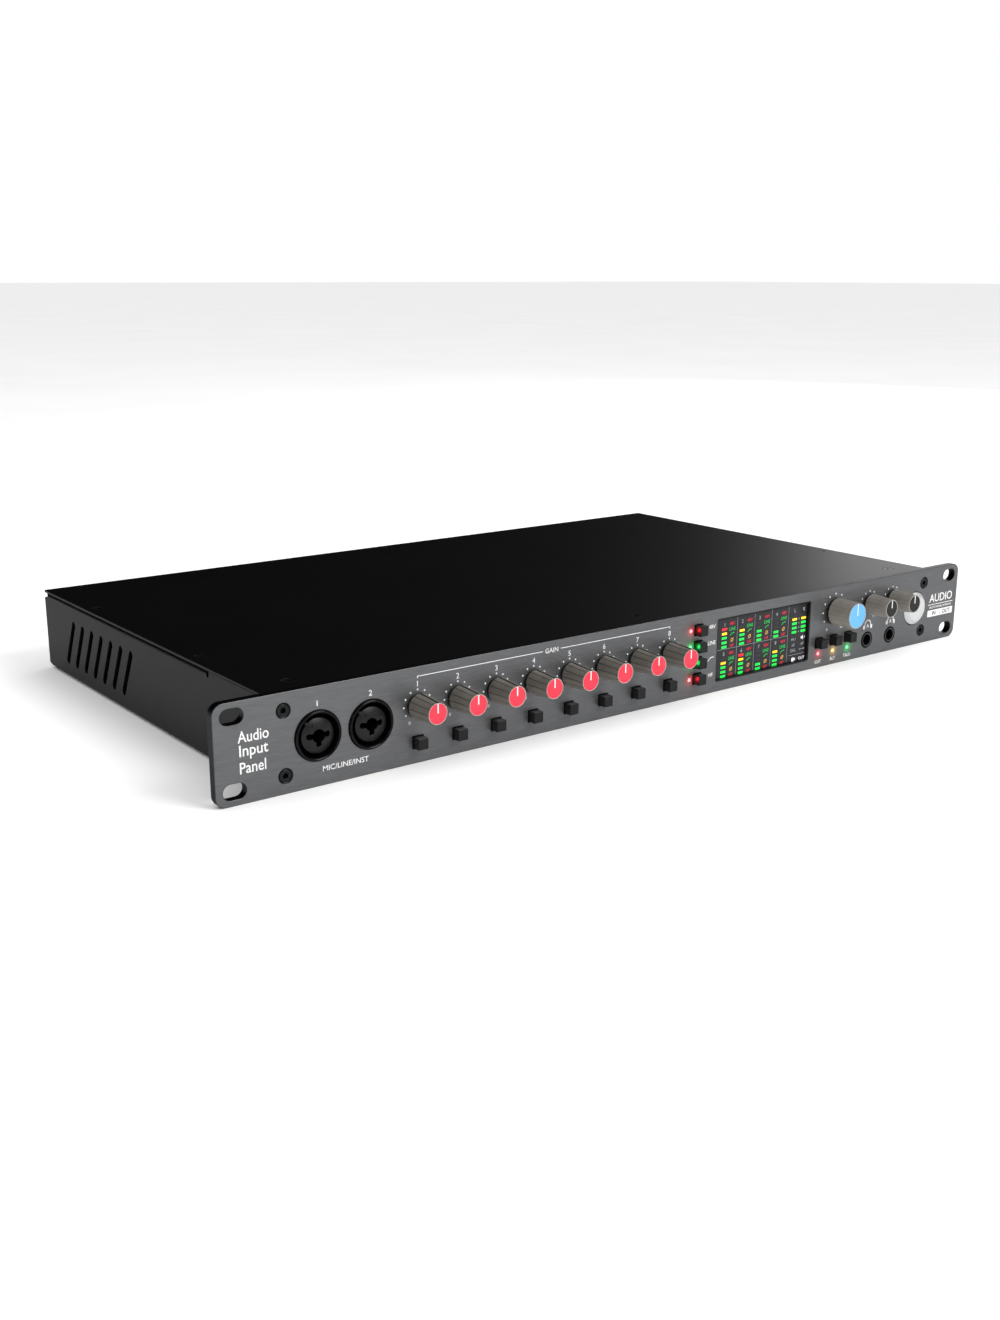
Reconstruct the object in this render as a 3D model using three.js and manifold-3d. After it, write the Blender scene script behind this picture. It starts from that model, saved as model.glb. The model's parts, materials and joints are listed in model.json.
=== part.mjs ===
// Rack-mounted audio interface, one unit high: an aluminium front panel with rack ears, a folded steel
// case with a screwed cover, two front combination jacks, eleven rotary controls, sixteen push buttons,
// a colour display, and a rear panel of input, output, digital, data and mains sockets.
//
// Millimetres. The unit is modelled with the front face of its panel on y = 0, the panel's centre on
// x = z = 0, +Y towards the rear and +Z up. The exported group then moves it so that the origin lies
// under the middle of the whole object, at its lowest point.
import * as THREE from "three";
import { mergeVertices } from "three/addons/utils/BufferGeometryUtils.js";
import Module from "manifold-3d";

const wasm = await Module();
wasm.setup();

// ---------------------------------------------------------------- driving dimensions

const PANEL = { width: 482.6, height: 44, thickness: 4.3, corner: 5, rebate: 0.3 };
const CASE = { halfWidth: 216.3, top: 21.1, bottom: -21.1, back: 252, sheet: 1.2 };
const GAP = 0.15; // between flat faces that touch on the real unit
const SLIP = 0.3; // between a moving piece and what it passes through
const RACK_HOLE = { x: 232.65, z: 15.875, length: 10.6, height: 6.9 };
const PANEL_SCREW = { x: 209.4, z: 14.1, headRadius: 3.2, headDepth: 2.2, shankRadius: 1.5, end: 10 };

const GAIN = { count: 8, firstX: -143.6, pitch: 21.5, z: 4.4 };
const CHANNEL_BUTTON_Z = -12.3;
const FUNCTION = { x: 27.2, topZ: 13.0, pitch: 8.5, lightX: 21.9 };
const FUNCTION_NAMES = ["phantom_button", "line_button", "filter_button", "tone_button"];
const MONITOR_KNOB = { x: 131.7, z: 8.25 };
const MONITOR_BUTTONS = { firstX: 119.9, pitch: 12.1, z: -8.0, lightZ: -14.1 };
const MONITOR_NAMES = ["cut_button", "alternate_button", "talk_button"];
const PHONES = { ax: 160.8, bx: 180.8, knobZ: 8.3, jackZ: -12.5 };
const POWER = { x: 201.8, z: 0, radius: 9.4, faceRadius: 6.9, travel: 1.5 };
const DISPLAY = { x: 76.2, z: -0.15, width: 70.9, height: 33.1, recess: 1.8, glass: 1.2 };
const COMBO = { frontX: [-193.6, -167.6], z: 0.4, radius: 10.97, proud: 1.2, body: 25 };

const KNOB = { front: -15.7, taperStart: -1.9, gap: 0.4, shaftRadius: 3, shaftEnd: 12 };
const SMALL_KNOB = { baseRadius: 6.0, tipRadius: 5.1, collarRadius: 5.7 };
const LARGE_KNOB = { baseRadius: 7.7, tipRadius: 7.1, collarRadius: 7.2 };
const BUTTON = { proud: 4.4, side: 5.2, stemSide: 3, stemEnd: 8.6, travel: 0.8 };
const BOARD_Y = 14; // front face of the control board
const BOARD_THICKNESS = 1.6;

const JACK = { radius: 3.4, nose: 4.55 };
const REAR = {
  comboX: [-196, -170, -144, -118, -92, -66],
  comboZ: 0.4,
  outputX: -38,
  outputPitch: 16,
  outputColumns: 5,
  outputZ: 8.8,
  opticalX: [52, 66],
  opticalZ: 8,
  clockX: [84, 100],
  midiX: [120, 140.5],
  usbX: 160,
  inletX: 190,
};
const COVER_SCREWS = [
  [-197.3, 17], [0, 17], [197.3, 17],
  [-209.3, 75], [209.3, 75], [-209.3, 193], [209.3, 193],
  [-197.3, 245.5], [0, 245.5], [197.3, 245.5],
];
const COVER_HOLE = { radius: 1.6, sinkRadius: 3, tappedRadius: 1.25 };

const ROUND = 16; // facets on a large round
const SMALL_ROUND = 12; // facets on a small round

// ---------------------------------------------------------------- materials

const matte = (color, roughness = 0.6, metalness = 0) =>
  new THREE.MeshStandardMaterial({ color, roughness, metalness });
const panelAluminium = matte(0x5b5d60, 0.42, 0.9);
const caseSteel = matte(0x141415, 0.5, 0.3);
const knobGrey = matte(0x7b766f, 0.55);
const buttonBlack = matte(0x1c1c1d, 0.4);
const socketBlack = matte(0x0c0c0d, 0.3);
const screwBlack = matte(0x262728, 0.4, 0.7);
const buttonSilver = matte(0xd5d6d8, 0.25, 0.9);
const windowBlack = matte(0x101113, 0.1);
const moduleGrey = matte(0x3a3c40, 0.4);
const boardGreen = matte(0x1d4a31, 0.5);
const lightGuide = matte(0xe6e6e2, 0.2);
const plainMetal = matte(0xb9bbbd, 0.3, 0.9);
const cableGrey = matte(0x8c8f92, 0.6);

// ---------------------------------------------------------------- solids

const unit = new THREE.Group();

// A closed three.js geometry as a manifold-3d solid.
function solidOf(geometry) {
  const bare = geometry.index ? geometry.toNonIndexed() : geometry.clone();
  bare.deleteAttribute("normal");
  bare.deleteAttribute("uv");
  const merged = mergeVertices(bare, 1e-4);
  const corners = merged.index.array;
  const triangles = [];
  for (let i = 0; i < corners.length; i += 3) {
    const [a, b, c] = [corners[i], corners[i + 1], corners[i + 2]];
    if (a !== b && b !== c && c !== a) triangles.push(a, b, c);
  }
  const mesh = new wasm.Mesh({
    numProp: 3,
    vertProperties: merged.attributes.position.array,
    triVerts: new Uint32Array(triangles),
  });
  return new wasm.Manifold(mesh);
}

function geometryOf(solid) {
  const mesh = solid.getMesh();
  const geometry = new THREE.BufferGeometry();
  geometry.setAttribute("position", new THREE.BufferAttribute(new Float32Array(mesh.vertProperties), 3));
  geometry.setIndex(new THREE.BufferAttribute(new Uint32Array(mesh.triVerts), 1));
  return geometry;
}

const join = (...parts) => geometryOf(parts.map(solidOf).reduce((a, b) => a.add(b)));
const cut = (body, ...tools) =>
  geometryOf(tools.map(solidOf).reduce((rest, tool) => rest.subtract(tool), solidOf(body)));

// A box between two corners, each [x, y, z].
function block([x0, y0, z0], [x1, y1, z1]) {
  const box = new THREE.BoxGeometry(x1 - x0, y1 - y0, z1 - z0);
  return box.translate((x0 + x1) / 2, (y0 + y1) / 2, (z0 + z1) / 2);
}

// A rod along Y from y0 to y1, on the axis through x and z.
function rod(radius, y0, y1, x, z, facets = SMALL_ROUND) {
  const cylinder = new THREE.CylinderGeometry(radius, radius, y1 - y0, facets);
  return cylinder.translate(x, (y0 + y1) / 2, z);
}

// A solid turned about the Y axis. The profile runs from low y to high y as [radius, y].
function turned(profile, facets = ROUND) {
  return new THREE.LatheGeometry(profile.map(([r, y]) => new THREE.Vector2(r, y)), facets);
}

// ---------------------------------------------------------------- outlines, as lists of 2-D points

function circle(x, z, radius, facets = SMALL_ROUND) {
  const at = (i) => (2 * Math.PI * i) / facets;
  return Array.from({ length: facets }, (_, i) =>
    new THREE.Vector2(x + radius * Math.cos(at(i)), z + radius * Math.sin(at(i))));
}

function rectangle(x, z, width, height) {
  const [w, h] = [width / 2, height / 2];
  return [[-w, -h], [w, -h], [w, h], [-w, h]].map(([u, v]) => new THREE.Vector2(x + u, z + v));
}

// A rectangle given by its edges.
const windowOf = (left, right, low, high) =>
  rectangle((left + right) / 2, (low + high) / 2, right - left, high - low);

// A rectangle whose corners are arcs of the given radius, with some facets each.
function roundedRectangle(x, z, width, height, radius, facets = 4) {
  const points = [];
  const centres = [[1, 1], [-1, 1], [-1, -1], [1, -1]];
  centres.forEach(([sx, sz], corner) => {
    for (let i = 0; i <= facets; i++) {
      const angle = (Math.PI / 2) * (corner + i / facets);
      points.push(new THREE.Vector2(
        x + sx * (width / 2 - radius) + radius * Math.cos(angle),
        z + sz * (height / 2 - radius) + radius * Math.sin(angle)));
    }
  });
  return points;
}

// A slot with round ends between two centres, as seen in its own plane.
function slot([u0, v0], [u1, v1], radius, facets = 6) {
  const along = Math.atan2(v1 - v0, u1 - u0);
  const end = (u, v, start) => Array.from({ length: facets + 1 }, (_, i) => {
    const angle = start + (Math.PI * i) / facets;
    return new THREE.Vector2(u + radius * Math.cos(angle), v + radius * Math.sin(angle));
  });
  return [...end(u1, v1, along - Math.PI / 2), ...end(u0, v0, along + Math.PI / 2)];
}

// A slab of the outline with each hole cut right through it.
function extrude(outline, holes, depth) {
  const prism = (points, height) =>
    new THREE.ExtrudeGeometry(new THREE.Shape(points), { depth: height, bevelEnabled: false });
  const slab = prism(outline, depth);
  return holes.length ? cut(slab, ...holes.map((hole) => prism(hole, depth + 2).translate(0, 0, -1))) : slab;
}

// Outlines drawn in X and Z, thick from y = front towards the rear.
const uprightPlate = (outline, holes, front, depth) =>
  extrude(outline, holes, depth).rotateX(Math.PI / 2).translate(0, front + depth, 0);

// Outlines drawn in X and Y, thick from z = low upwards.
const levelPlate = (outline, holes, low, depth) => extrude(outline, holes, depth).translate(0, 0, low);

// Outlines drawn in Y and Z, thick from x = left to the right.
function sidePlate(outline, holes, left, depth) {
  const turn = new THREE.Matrix4().makeBasis(
    new THREE.Vector3(0, 1, 0), new THREE.Vector3(0, 0, 1), new THREE.Vector3(1, 0, 0));
  return extrude(outline, holes, depth).applyMatrix4(turn).translate(left, 0, 0);
}

// Adds a named sub-part to the unit.
function add(name, geometry, material, x = 0, y = 0, z = 0) {
  const mesh = new THREE.Mesh(geometry, material);
  mesh.name = name;
  mesh.position.set(x, y, z);
  unit.add(mesh);
}

const steps = (count) => Array.from({ length: count }, (_, i) => i);
const gainX = (i) => GAIN.firstX + GAIN.pitch * i;
const functionZ = (i) => FUNCTION.topZ - FUNCTION.pitch * i;
const monitorButtonX = (i) => MONITOR_BUTTONS.firstX + MONITOR_BUTTONS.pitch * i;
const knobPlaces = [
  ...steps(GAIN.count).map((i) => [gainX(i), GAIN.z]),
  [MONITOR_KNOB.x, MONITOR_KNOB.z],
  [PHONES.ax, PHONES.knobZ],
  [PHONES.bx, PHONES.knobZ],
];
const buttonPlaces = [
  ...steps(GAIN.count).map((i) => [gainX(i), CHANNEL_BUTTON_Z]),
  ...steps(FUNCTION_NAMES.length).map((i) => [FUNCTION.x, functionZ(i)]),
  ...steps(MONITOR_NAMES.length).map((i) => [monitorButtonX(i), MONITOR_BUTTONS.z]),
];
const lightPlaces = [
  ...steps(FUNCTION_NAMES.length).map((i) => [FUNCTION.lightX, functionZ(i)]),
  ...steps(MONITOR_NAMES.length).map((i) => [monitorButtonX(i), MONITOR_BUTTONS.lightZ]),
];
const bothSides = [-1, 1];
const screwPlaces = bothSides.flatMap((sx) => bothSides.map((sz) => [sx * PANEL_SCREW.x, sz * PANEL_SCREW.z]));
const LIGHT_RADIUS = 1;

// ---------------------------------------------------------------- front panel and its screws

// The case nests in a shallow rebate across the panel's back, which leaves the ears standing proud.
const PANEL_INNER = PANEL.thickness - PANEL.rebate;

// The countersunk screw, turned about Y with its head face on y = 0. Clearance widens it into its pocket.
function screwShape(clearance) {
  const { headRadius, headDepth, shankRadius, end } = PANEL_SCREW;
  return turned([
    [0, -clearance * 2],
    [headRadius + clearance, -clearance * 2],
    [headRadius + clearance, 0.3 + clearance],
    [shankRadius + clearance, headDepth + clearance],
    [shankRadius + clearance, end],
    [0, end],
  ], SMALL_ROUND);
}

function frontPanel() {
  const rackHoles = bothSides.flatMap((sx) => bothSides.map((sz) => {
    const reach = (RACK_HOLE.length - RACK_HOLE.height) / 2;
    const [x, z] = [sx * RACK_HOLE.x, sz * RACK_HOLE.z];
    return slot([x - reach, z], [x + reach, z], RACK_HOLE.height / 2);
  }));
  const buttonHole = BUTTON.side + 2 * SLIP;
  const holes = [
    ...rackHoles,
    ...COMBO.frontX.map((x) => circle(x, COMBO.z, COMBO.radius + 0.2, ROUND)),
    ...knobPlaces.map(([x, z]) => circle(x, z, KNOB.shaftRadius + SLIP)),
    ...buttonPlaces.map(([x, z]) => rectangle(x, z, buttonHole, buttonHole)),
    ...lightPlaces.map(([x, z]) => circle(x, z, LIGHT_RADIUS + GAP, 8)),
    ...[PHONES.ax, PHONES.bx].map((x) => circle(x, PHONES.jackZ, JACK.nose + GAP)),
    circle(POWER.x, POWER.z, POWER.radius + SLIP, ROUND),
    roundedRectangle(DISPLAY.x, DISPLAY.z, DISPLAY.width, DISPLAY.height, 1, 2),
  ];
  const outline = roundedRectangle(0, 0, PANEL.width, PANEL.height, PANEL.corner);
  const plate = uprightPlate(outline, holes, 0, PANEL.thickness);
  const pockets = screwPlaces.map(([x, z]) => screwShape(0.2).translate(x, 0, z));
  const reach = CASE.halfWidth + 1.2;
  const rebate = block([-reach, PANEL_INNER, -PANEL.height], [reach, PANEL.thickness + 1, PANEL.height]);
  return cut(plate, rebate, ...pockets);
}

// A hexagon socket in the head of each screw.
function panelScrew() {
  return cut(screwShape(0), rod(1.1, -1, 1.4, 0, 0, 6));
}

// ---------------------------------------------------------------- case

const INNER_HALF = CASE.halfWidth - CASE.sheet; // inner face of a side wall
const FLOOR = CASE.bottom + CASE.sheet;
const COVER_LOW = CASE.top - CASE.sheet;
const FLANGE_TOP = COVER_LOW - GAP;
const FLANGE_LOW = FLANGE_TOP - CASE.sheet;
const CASE_FRONT = PANEL_INNER + GAP;
const WALL_BACK = CASE_FRONT + CASE.sheet; // rear face of the case's front wall
const SIDE_FLANGE = { width: 14, front: 56, back: 248 };
const FRONT_FLANGE = { halfWidth: 205, back: 25 };
const REAR_FLANGE = { halfWidth: 200, front: 238.5, lip: 12 };
const VENT = { count: 7, firstY: 217.7, pitch: 12.25, z: -1.4, rise: 21, lean: 11.4, radius: 2 };

const coverHoles = (keep, radius) =>
  COVER_SCREWS.filter(keep).map(([x, y]) => circle(x, y, radius, 8));

function sideWall(left) {
  const chamfer = { depth: 4, height: 2 };
  const relief = { low: 17.4, width: 2, back: CASE.back - 3.6 };
  const outline = [
    [CASE_FRONT, CASE.bottom],
    [CASE.back - chamfer.depth, CASE.bottom],
    [CASE.back, CASE.bottom + chamfer.height],
    [CASE.back, relief.low],
    [relief.back, relief.low],
    [relief.back, FLANGE_TOP],
    [SIDE_FLANGE.front, FLANGE_TOP],
    [SIDE_FLANGE.front, relief.low],
    [SIDE_FLANGE.front - relief.width, relief.low],
    [SIDE_FLANGE.front - relief.width, FLANGE_TOP],
    [CASE_FRONT, FLANGE_TOP],
  ].map(([y, z]) => new THREE.Vector2(y, z));
  const vents = steps(VENT.count).map((i) => {
    const y = VENT.firstY - VENT.pitch * i;
    const low = [y + VENT.lean / 2, VENT.z - VENT.rise / 2];
    const high = [y - VENT.lean / 2, VENT.z + VENT.rise / 2];
    return slot(low, high, VENT.radius, 4);
  });
  return sidePlate(outline, vents, left, CASE.sheet);
}

function sideFlange(side) {
  const edge = side * CASE.halfWidth;
  const inner = side * (CASE.halfWidth - SIDE_FLANGE.width);
  const outline = windowOf(Math.min(edge, inner), Math.max(edge, inner), SIDE_FLANGE.front, SIDE_FLANGE.back);
  const holes = coverHoles(([x, y]) => x * side > 205 && y > SIDE_FLANGE.front, COVER_HOLE.tappedRadius);
  return levelPlate(outline, holes, FLANGE_LOW, CASE.sheet);
}

function caseFrontWall() {
  const holes = [
    ...COMBO.frontX.map((x) => circle(x, COMBO.z, COMBO.radius + 0.4, ROUND)),
    windowOf(-152, 15, -17.5, 12),
    windowOf(18.5, 33, -17.5, 17.5),
    windowOf(39.3, 113.1, -17.8, 17.5),
    windowOf(116, 151, -17.5, 17),
    windowOf(154, 189, 2, 15),
    ...[PHONES.ax, PHONES.bx].map((x) => circle(x, PHONES.jackZ, JACK.nose + 0.4)),
    circle(POWER.x, POWER.z, POWER.radius + 1.2, ROUND),
    ...screwPlaces.map(([x, z]) => circle(x, z, PANEL_SCREW.shankRadius + 0.15, 8)),
  ];
  const outline = windowOf(-INNER_HALF - 0.6, INNER_HALF + 0.6, CASE.bottom, FLANGE_TOP);
  return uprightPlate(outline, holes, CASE_FRONT, CASE.sheet);
}

function caseFrontFlange() {
  const { halfWidth, back } = FRONT_FLANGE;
  const outline = windowOf(-halfWidth, halfWidth, CASE_FRONT, back);
  const holes = coverHoles(([, y]) => y < back, COVER_HOLE.tappedRadius);
  return levelPlate(outline, holes, FLANGE_LOW, CASE.sheet);
}

// One folded sheet: floor, two vented sides with flanges for the cover, and the wall behind the panel.
function chassisBase() {
  const floorBack = CASE.back - 4;
  const floor = block([-CASE.halfWidth, CASE_FRONT, CASE.bottom], [CASE.halfWidth, floorBack, FLOOR]);
  return join(
    floor,
    sideWall(-CASE.halfWidth),
    sideWall(INNER_HALF),
    sideFlange(-1),
    sideFlange(1),
    caseFrontWall(),
    caseFrontFlange(),
  );
}

function topCover() {
  const outline = windowOf(-CASE.halfWidth, CASE.halfWidth, CASE_FRONT, CASE.back);
  const plate = levelPlate(outline, [], COVER_LOW, CASE.sheet);
  const sinks = COVER_SCREWS.map(([x, y]) => {
    const { radius, sinkRadius } = COVER_HOLE;
    const profile = [[0, -2], [radius, -2], [radius, -CASE.sheet], [sinkRadius, 0.01], [sinkRadius, 1], [0, 1]];
    return turned(profile, SMALL_ROUND).rotateX(Math.PI / 2).translate(x, y, CASE.top);
  });
  return cut(plate, ...sinks);
}

// ---------------------------------------------------------------- controls

// Knob with its collar and shaft, turned about Y.
function knob({ baseRadius, tipRadius, collarRadius }) {
  const rim = 0.5;
  return turned([
    [0, KNOB.front],
    [tipRadius - rim, KNOB.front],
    [tipRadius, KNOB.front + rim],
    [baseRadius, KNOB.taperStart],
    [collarRadius, KNOB.taperStart],
    [collarRadius, -KNOB.gap],
    [KNOB.shaftRadius, -KNOB.gap],
    [KNOB.shaftRadius, KNOB.shaftEnd],
    [0, KNOB.shaftEnd],
  ]);
}

// Square button cap with the flange that keeps it behind the panel and the stem that works its switch.
function button() {
  const half = BUTTON.side / 2;
  const flange = half + 0.7;
  const stem = BUTTON.stemSide / 2;
  const flangeFront = PANEL_INNER + 0.2;
  const flangeBack = flangeFront + 0.9;
  return join(
    block([-half, -BUTTON.proud, -half], [half, flangeBack, half]),
    block([-flange, flangeFront, -flange], [flange, flangeBack, flange]),
    block([-stem, 0, -stem], [stem, BUTTON.stemEnd, stem]),
  );
}

function powerButton() {
  const flangeFront = PANEL_INNER + 0.2;
  return turned([
    [0, -2.1],
    [POWER.faceRadius, -2.1],
    [POWER.radius, -0.2],
    [POWER.radius, flangeFront],
    [POWER.radius + 0.8, flangeFront],
    [POWER.radius + 0.8, flangeFront + 0.9],
    [3, flangeFront + 0.9],
    [3, 10],
    [0, 10],
  ]);
}

function powerSwitch() {
  const half = 7;
  return block(
    [POWER.x - half, 10 + POWER.travel + 0.3, POWER.z - half],
    [POWER.x + half, 28, POWER.z + half],
  );
}

// A strip behind the panel with one clear rod for each light.
function lightStrip(places, low, high) {
  const strip = block(low, high);
  const rods = places.map(([x, z]) => rod(LIGHT_RADIUS, -0.1, low[1] + 1, x, z, 8));
  return join(strip, ...rods);
}

// ---------------------------------------------------------------- display and boards

const WINDOW_BACK = DISPLAY.recess + DISPLAY.glass;

function displayWindow() {
  const outline = roundedRectangle(
    DISPLAY.x, DISPLAY.z, DISPLAY.width - 2 * GAP, DISPLAY.height - 2 * GAP, 0.9, 2);
  return uprightPlate(outline, [], DISPLAY.recess, WINDOW_BACK - DISPLAY.recess);
}

function displayModule() {
  const [w, h] = [DISPLAY.width / 2 - 1, DISPLAY.height / 2 - 0.6];
  return block(
    [DISPLAY.x - w, WINDOW_BACK + GAP, DISPLAY.z - h],
    [DISPLAY.x + w, 9.5, DISPLAY.z + h],
  );
}

// The control board carries a potentiometer behind each knob and a switch behind each button.
function frontBoard() {
  const outline = [[-154, -18.5], [152, -18.5], [152, -4], [190.5, -4], [190.5, 17.5], [-154, 17.5]]
    .map(([x, z]) => new THREE.Vector2(x, z));
  const board = uprightPlate(outline, [], BOARD_Y, BOARD_THICKNESS);
  const potFront = 8;
  const potHalf = 4.9;
  const back = BOARD_Y + 0.2;
  const pots = knobPlaces.map(([x, z]) =>
    block([x - potHalf, potFront, z - potHalf], [x + potHalf, back, z + potHalf]));
  const switchFront = BUTTON.stemEnd + BUTTON.travel + 0.4;
  const switchHalf = 3;
  const switches = buttonPlaces.map(([x, z]) =>
    block([x - switchHalf, switchFront, z - switchHalf], [x + switchHalf, back, z + switchHalf]));
  const bushings = knobPlaces.map(([x, z]) =>
    rod(KNOB.shaftRadius + SLIP, potFront - 1, KNOB.shaftEnd + 0.4, x, z));
  return cut(join(board, ...pots, ...switches), ...bushings);
}

const MAIN_BOARD_LOW = -15.5;
const MAIN_BOARD_TOP = MAIN_BOARD_LOW + BOARD_THICKNESS;

// Processor under a heat sink, converters, capacitors and the stand-offs that hold the board.
function mainBoard() {
  const board = block([-206, 34, MAIN_BOARD_LOW], [118, 222, MAIN_BOARD_TOP]);
  const low = MAIN_BOARD_TOP - 0.2;
  const heatSinkFins = steps(6).map((i) =>
    block([-12 + i * 6, 110, low + 4], [-10 + i * 6, 146, low + 16]));
  const heatSink = block([-14, 108, low], [22, 148, low + 5]);
  const chips = steps(8).map((i) => {
    const x = -190 + i * 24;
    return block([x, 170, low], [x + 10, 180, low + 2]);
  });
  const capacitors = steps(8).map((i) =>
    rod(4, low, low + 11, -184 + i * 24, 0, 8).rotateX(Math.PI / 2).translate(0, 75, 0));
  const standOffs = [[-198, 42], [110, 42], [-198, 214], [110, 214]].map(([x, y]) =>
    block([x - 3, y - 3, FLOOR + GAP], [x + 3, y + 3, MAIN_BOARD_LOW + 0.2]));
  return join(board, heatSink, ...heatSinkFins, ...chips, ...capacitors, ...standOffs);
}

function powerSupply() {
  const board = block([126, 60, -16], [208, 218, -14.4]);
  const low = -14.6;
  const feet = [[130, 64], [204, 64], [130, 214], [204, 214]].map(([x, y]) =>
    block([x - 3, y - 3, FLOOR + GAP], [x + 3, y + 3, -15.8]));
  return join(
    board,
    block([140, 110, low], [172, 140, low + 26]),
    block([178, 100, low], [182, 190, low + 24]),
    block([140, 160, low], [160, 200, low + 18]),
    rod(9, low, low + 26, 150, 0, SMALL_ROUND).rotateX(Math.PI / 2).translate(0, 86, 0),
    ...feet,
  );
}

// Flat cable from the control board down to the main board, 30 mm wide.
function ribbonCable() {
  const thickness = 1;
  const line = [
    [BOARD_Y + BOARD_THICKNESS + GAP, -8], [20, -8], [24, -9], [28, -12.2], [32, -13.5], [44, -13.5],
  ];
  const lower = line.map(([y, z]) => new THREE.Vector2(y, z));
  const upper = line.map(([y, z]) => new THREE.Vector2(y, z + thickness)).reverse();
  return sidePlate([...lower, ...upper], [], -75, 30);
}

// ---------------------------------------------------------------- sockets

// Combination jack: a round nose with the ring groove for a three-pin plug, a centre jack and pin holes.
function comboJack() {
  const depth = 24;
  const groove = { outer: 9.7, inner: 7.55, depth: 9 };
  const half = COMBO.body / 2;
  const bodyFront = WALL_BACK + 0.2;
  const grooveTool = turned([
    [groove.inner, -2],
    [groove.outer, -2],
    [groove.outer, groove.depth],
    [groove.inner, groove.depth],
    [groove.inner, -2],
  ]);
  const pinHoles = [[-4.4, 0.2], [4.4, 0.2], [0, -4.4]].map(([x, z]) => rod(1.5, -2, 9, x, z, 6));
  const body = join(
    turned([[0, -COMBO.proud], [COMBO.radius, -COMBO.proud], [COMBO.radius, 8], [0, 8]]),
    block([-half, bodyFront, -half], [half, depth + 2, half]),
  );
  return cut(body, grooveTool, rod(JACK.radius, -2, depth, 0, 0), ...pinHoles);
}

function phonesJack() {
  const nose = rod(JACK.nose, -0.3, 8, 0, 0);
  const body = block([-6.5, WALL_BACK + 0.2, -6.5], [6.5, 31, 6.5]);
  return cut(join(nose, body), rod(JACK.radius, -2, 28, 0, 0));
}

// ---------------------------------------------------------------- rear panel and its sockets

const REAR_FACE = CASE.back - 0.2; // outer face of the rear panel
const REAR_INNER = REAR_FACE - CASE.sheet;
const REAR_BODY = REAR_INNER - 0.2; // where the bodies of the rear sockets end
const outputPlaces = steps(REAR.outputColumns).flatMap((i) =>
  bothSides.map((side) => [REAR.outputX + REAR.outputPitch * i, side * REAR.outputZ]));
const opticalPlaces = REAR.opticalX.flatMap((x) => bothSides.map((side) => [x, side * REAR.opticalZ]));
const DIN_RADIUS = 7.6;
const CLOCK = { barrel: 4.8, base: 6, length: 11 };
const INLET = { width: 27, height: 19.6 };
const OPTICAL = { width: 10.4, height: 11 };
const USB = { width: 9.2, height: 3.4 };

function rearPanel() {
  const holes = [
    ...REAR.comboX.map((x) => circle(x, REAR.comboZ, COMBO.radius + 0.2, ROUND)),
    ...outputPlaces.map(([x, z]) => circle(x, z, JACK.nose + GAP)),
    ...opticalPlaces.map(([x, z]) => rectangle(x, z, OPTICAL.width + 0.3, OPTICAL.height + 0.3)),
    ...REAR.clockX.map((x) => circle(x, 0, CLOCK.base + GAP)),
    ...REAR.midiX.map((x) => circle(x, 0, DIN_RADIUS + GAP, 16)),
    rectangle(REAR.usbX, 0, USB.width + 0.4, USB.height + 0.4),
    rectangle(REAR.inletX, 0, INLET.width + 0.4, INLET.height + 0.4),
  ];
  const half = INNER_HALF - GAP;
  const wall = uprightPlate(windowOf(-half, half, FLOOR + GAP, FLANGE_TOP), holes, REAR_INNER, CASE.sheet);
  const flangeHoles = coverHoles(([, y]) => y > REAR_FLANGE.front, COVER_HOLE.tappedRadius);
  const { halfWidth, front, lip } = REAR_FLANGE;
  const flange = levelPlate(windowOf(-halfWidth, halfWidth, front, REAR_FACE), flangeHoles, FLANGE_LOW, CASE.sheet);
  const foldedLip = block([-half, REAR_FACE - lip, FLOOR + GAP], [half, REAR_FACE, FLOOR + GAP + CASE.sheet]);
  return join(wall, flange, foldedLip);
}

function outputJackBank() {
  const lastX = REAR.outputX + REAR.outputPitch * (REAR.outputColumns - 1);
  const margin = 7.5;
  const body = block([REAR.outputX - margin, 224, -17], [lastX + margin, REAR_BODY, 17]);
  const noses = outputPlaces.map(([x, z]) => rod(JACK.nose, REAR_BODY - 1, REAR_FACE + 3, x, z));
  const bores = outputPlaces.map(([x, z]) => rod(JACK.radius, 226, REAR_FACE + 4, x, z));
  return cut(join(body, ...noses), ...bores);
}

function opticalPorts() {
  const [left, right] = REAR.opticalX;
  const margin = 6.4;
  const body = block([left - margin, 236, -14.5], [right + margin, REAR_BODY, 14.5]);
  const opening = 2.9; // half the side of a port's square mouth
  const shells = opticalPlaces.map(([x, z]) => {
    const [w, h] = [OPTICAL.width / 2, OPTICAL.height / 2];
    return block([x - w, REAR_BODY - 1, z - h], [x + w, REAR_FACE + 0.4, z + h]);
  });
  const mouths = opticalPlaces.map(([x, z]) =>
    block([x - opening, 243, z - opening], [x + opening, REAR_FACE + 1, z + opening]));
  return cut(join(body, ...shells), ...mouths);
}

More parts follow.
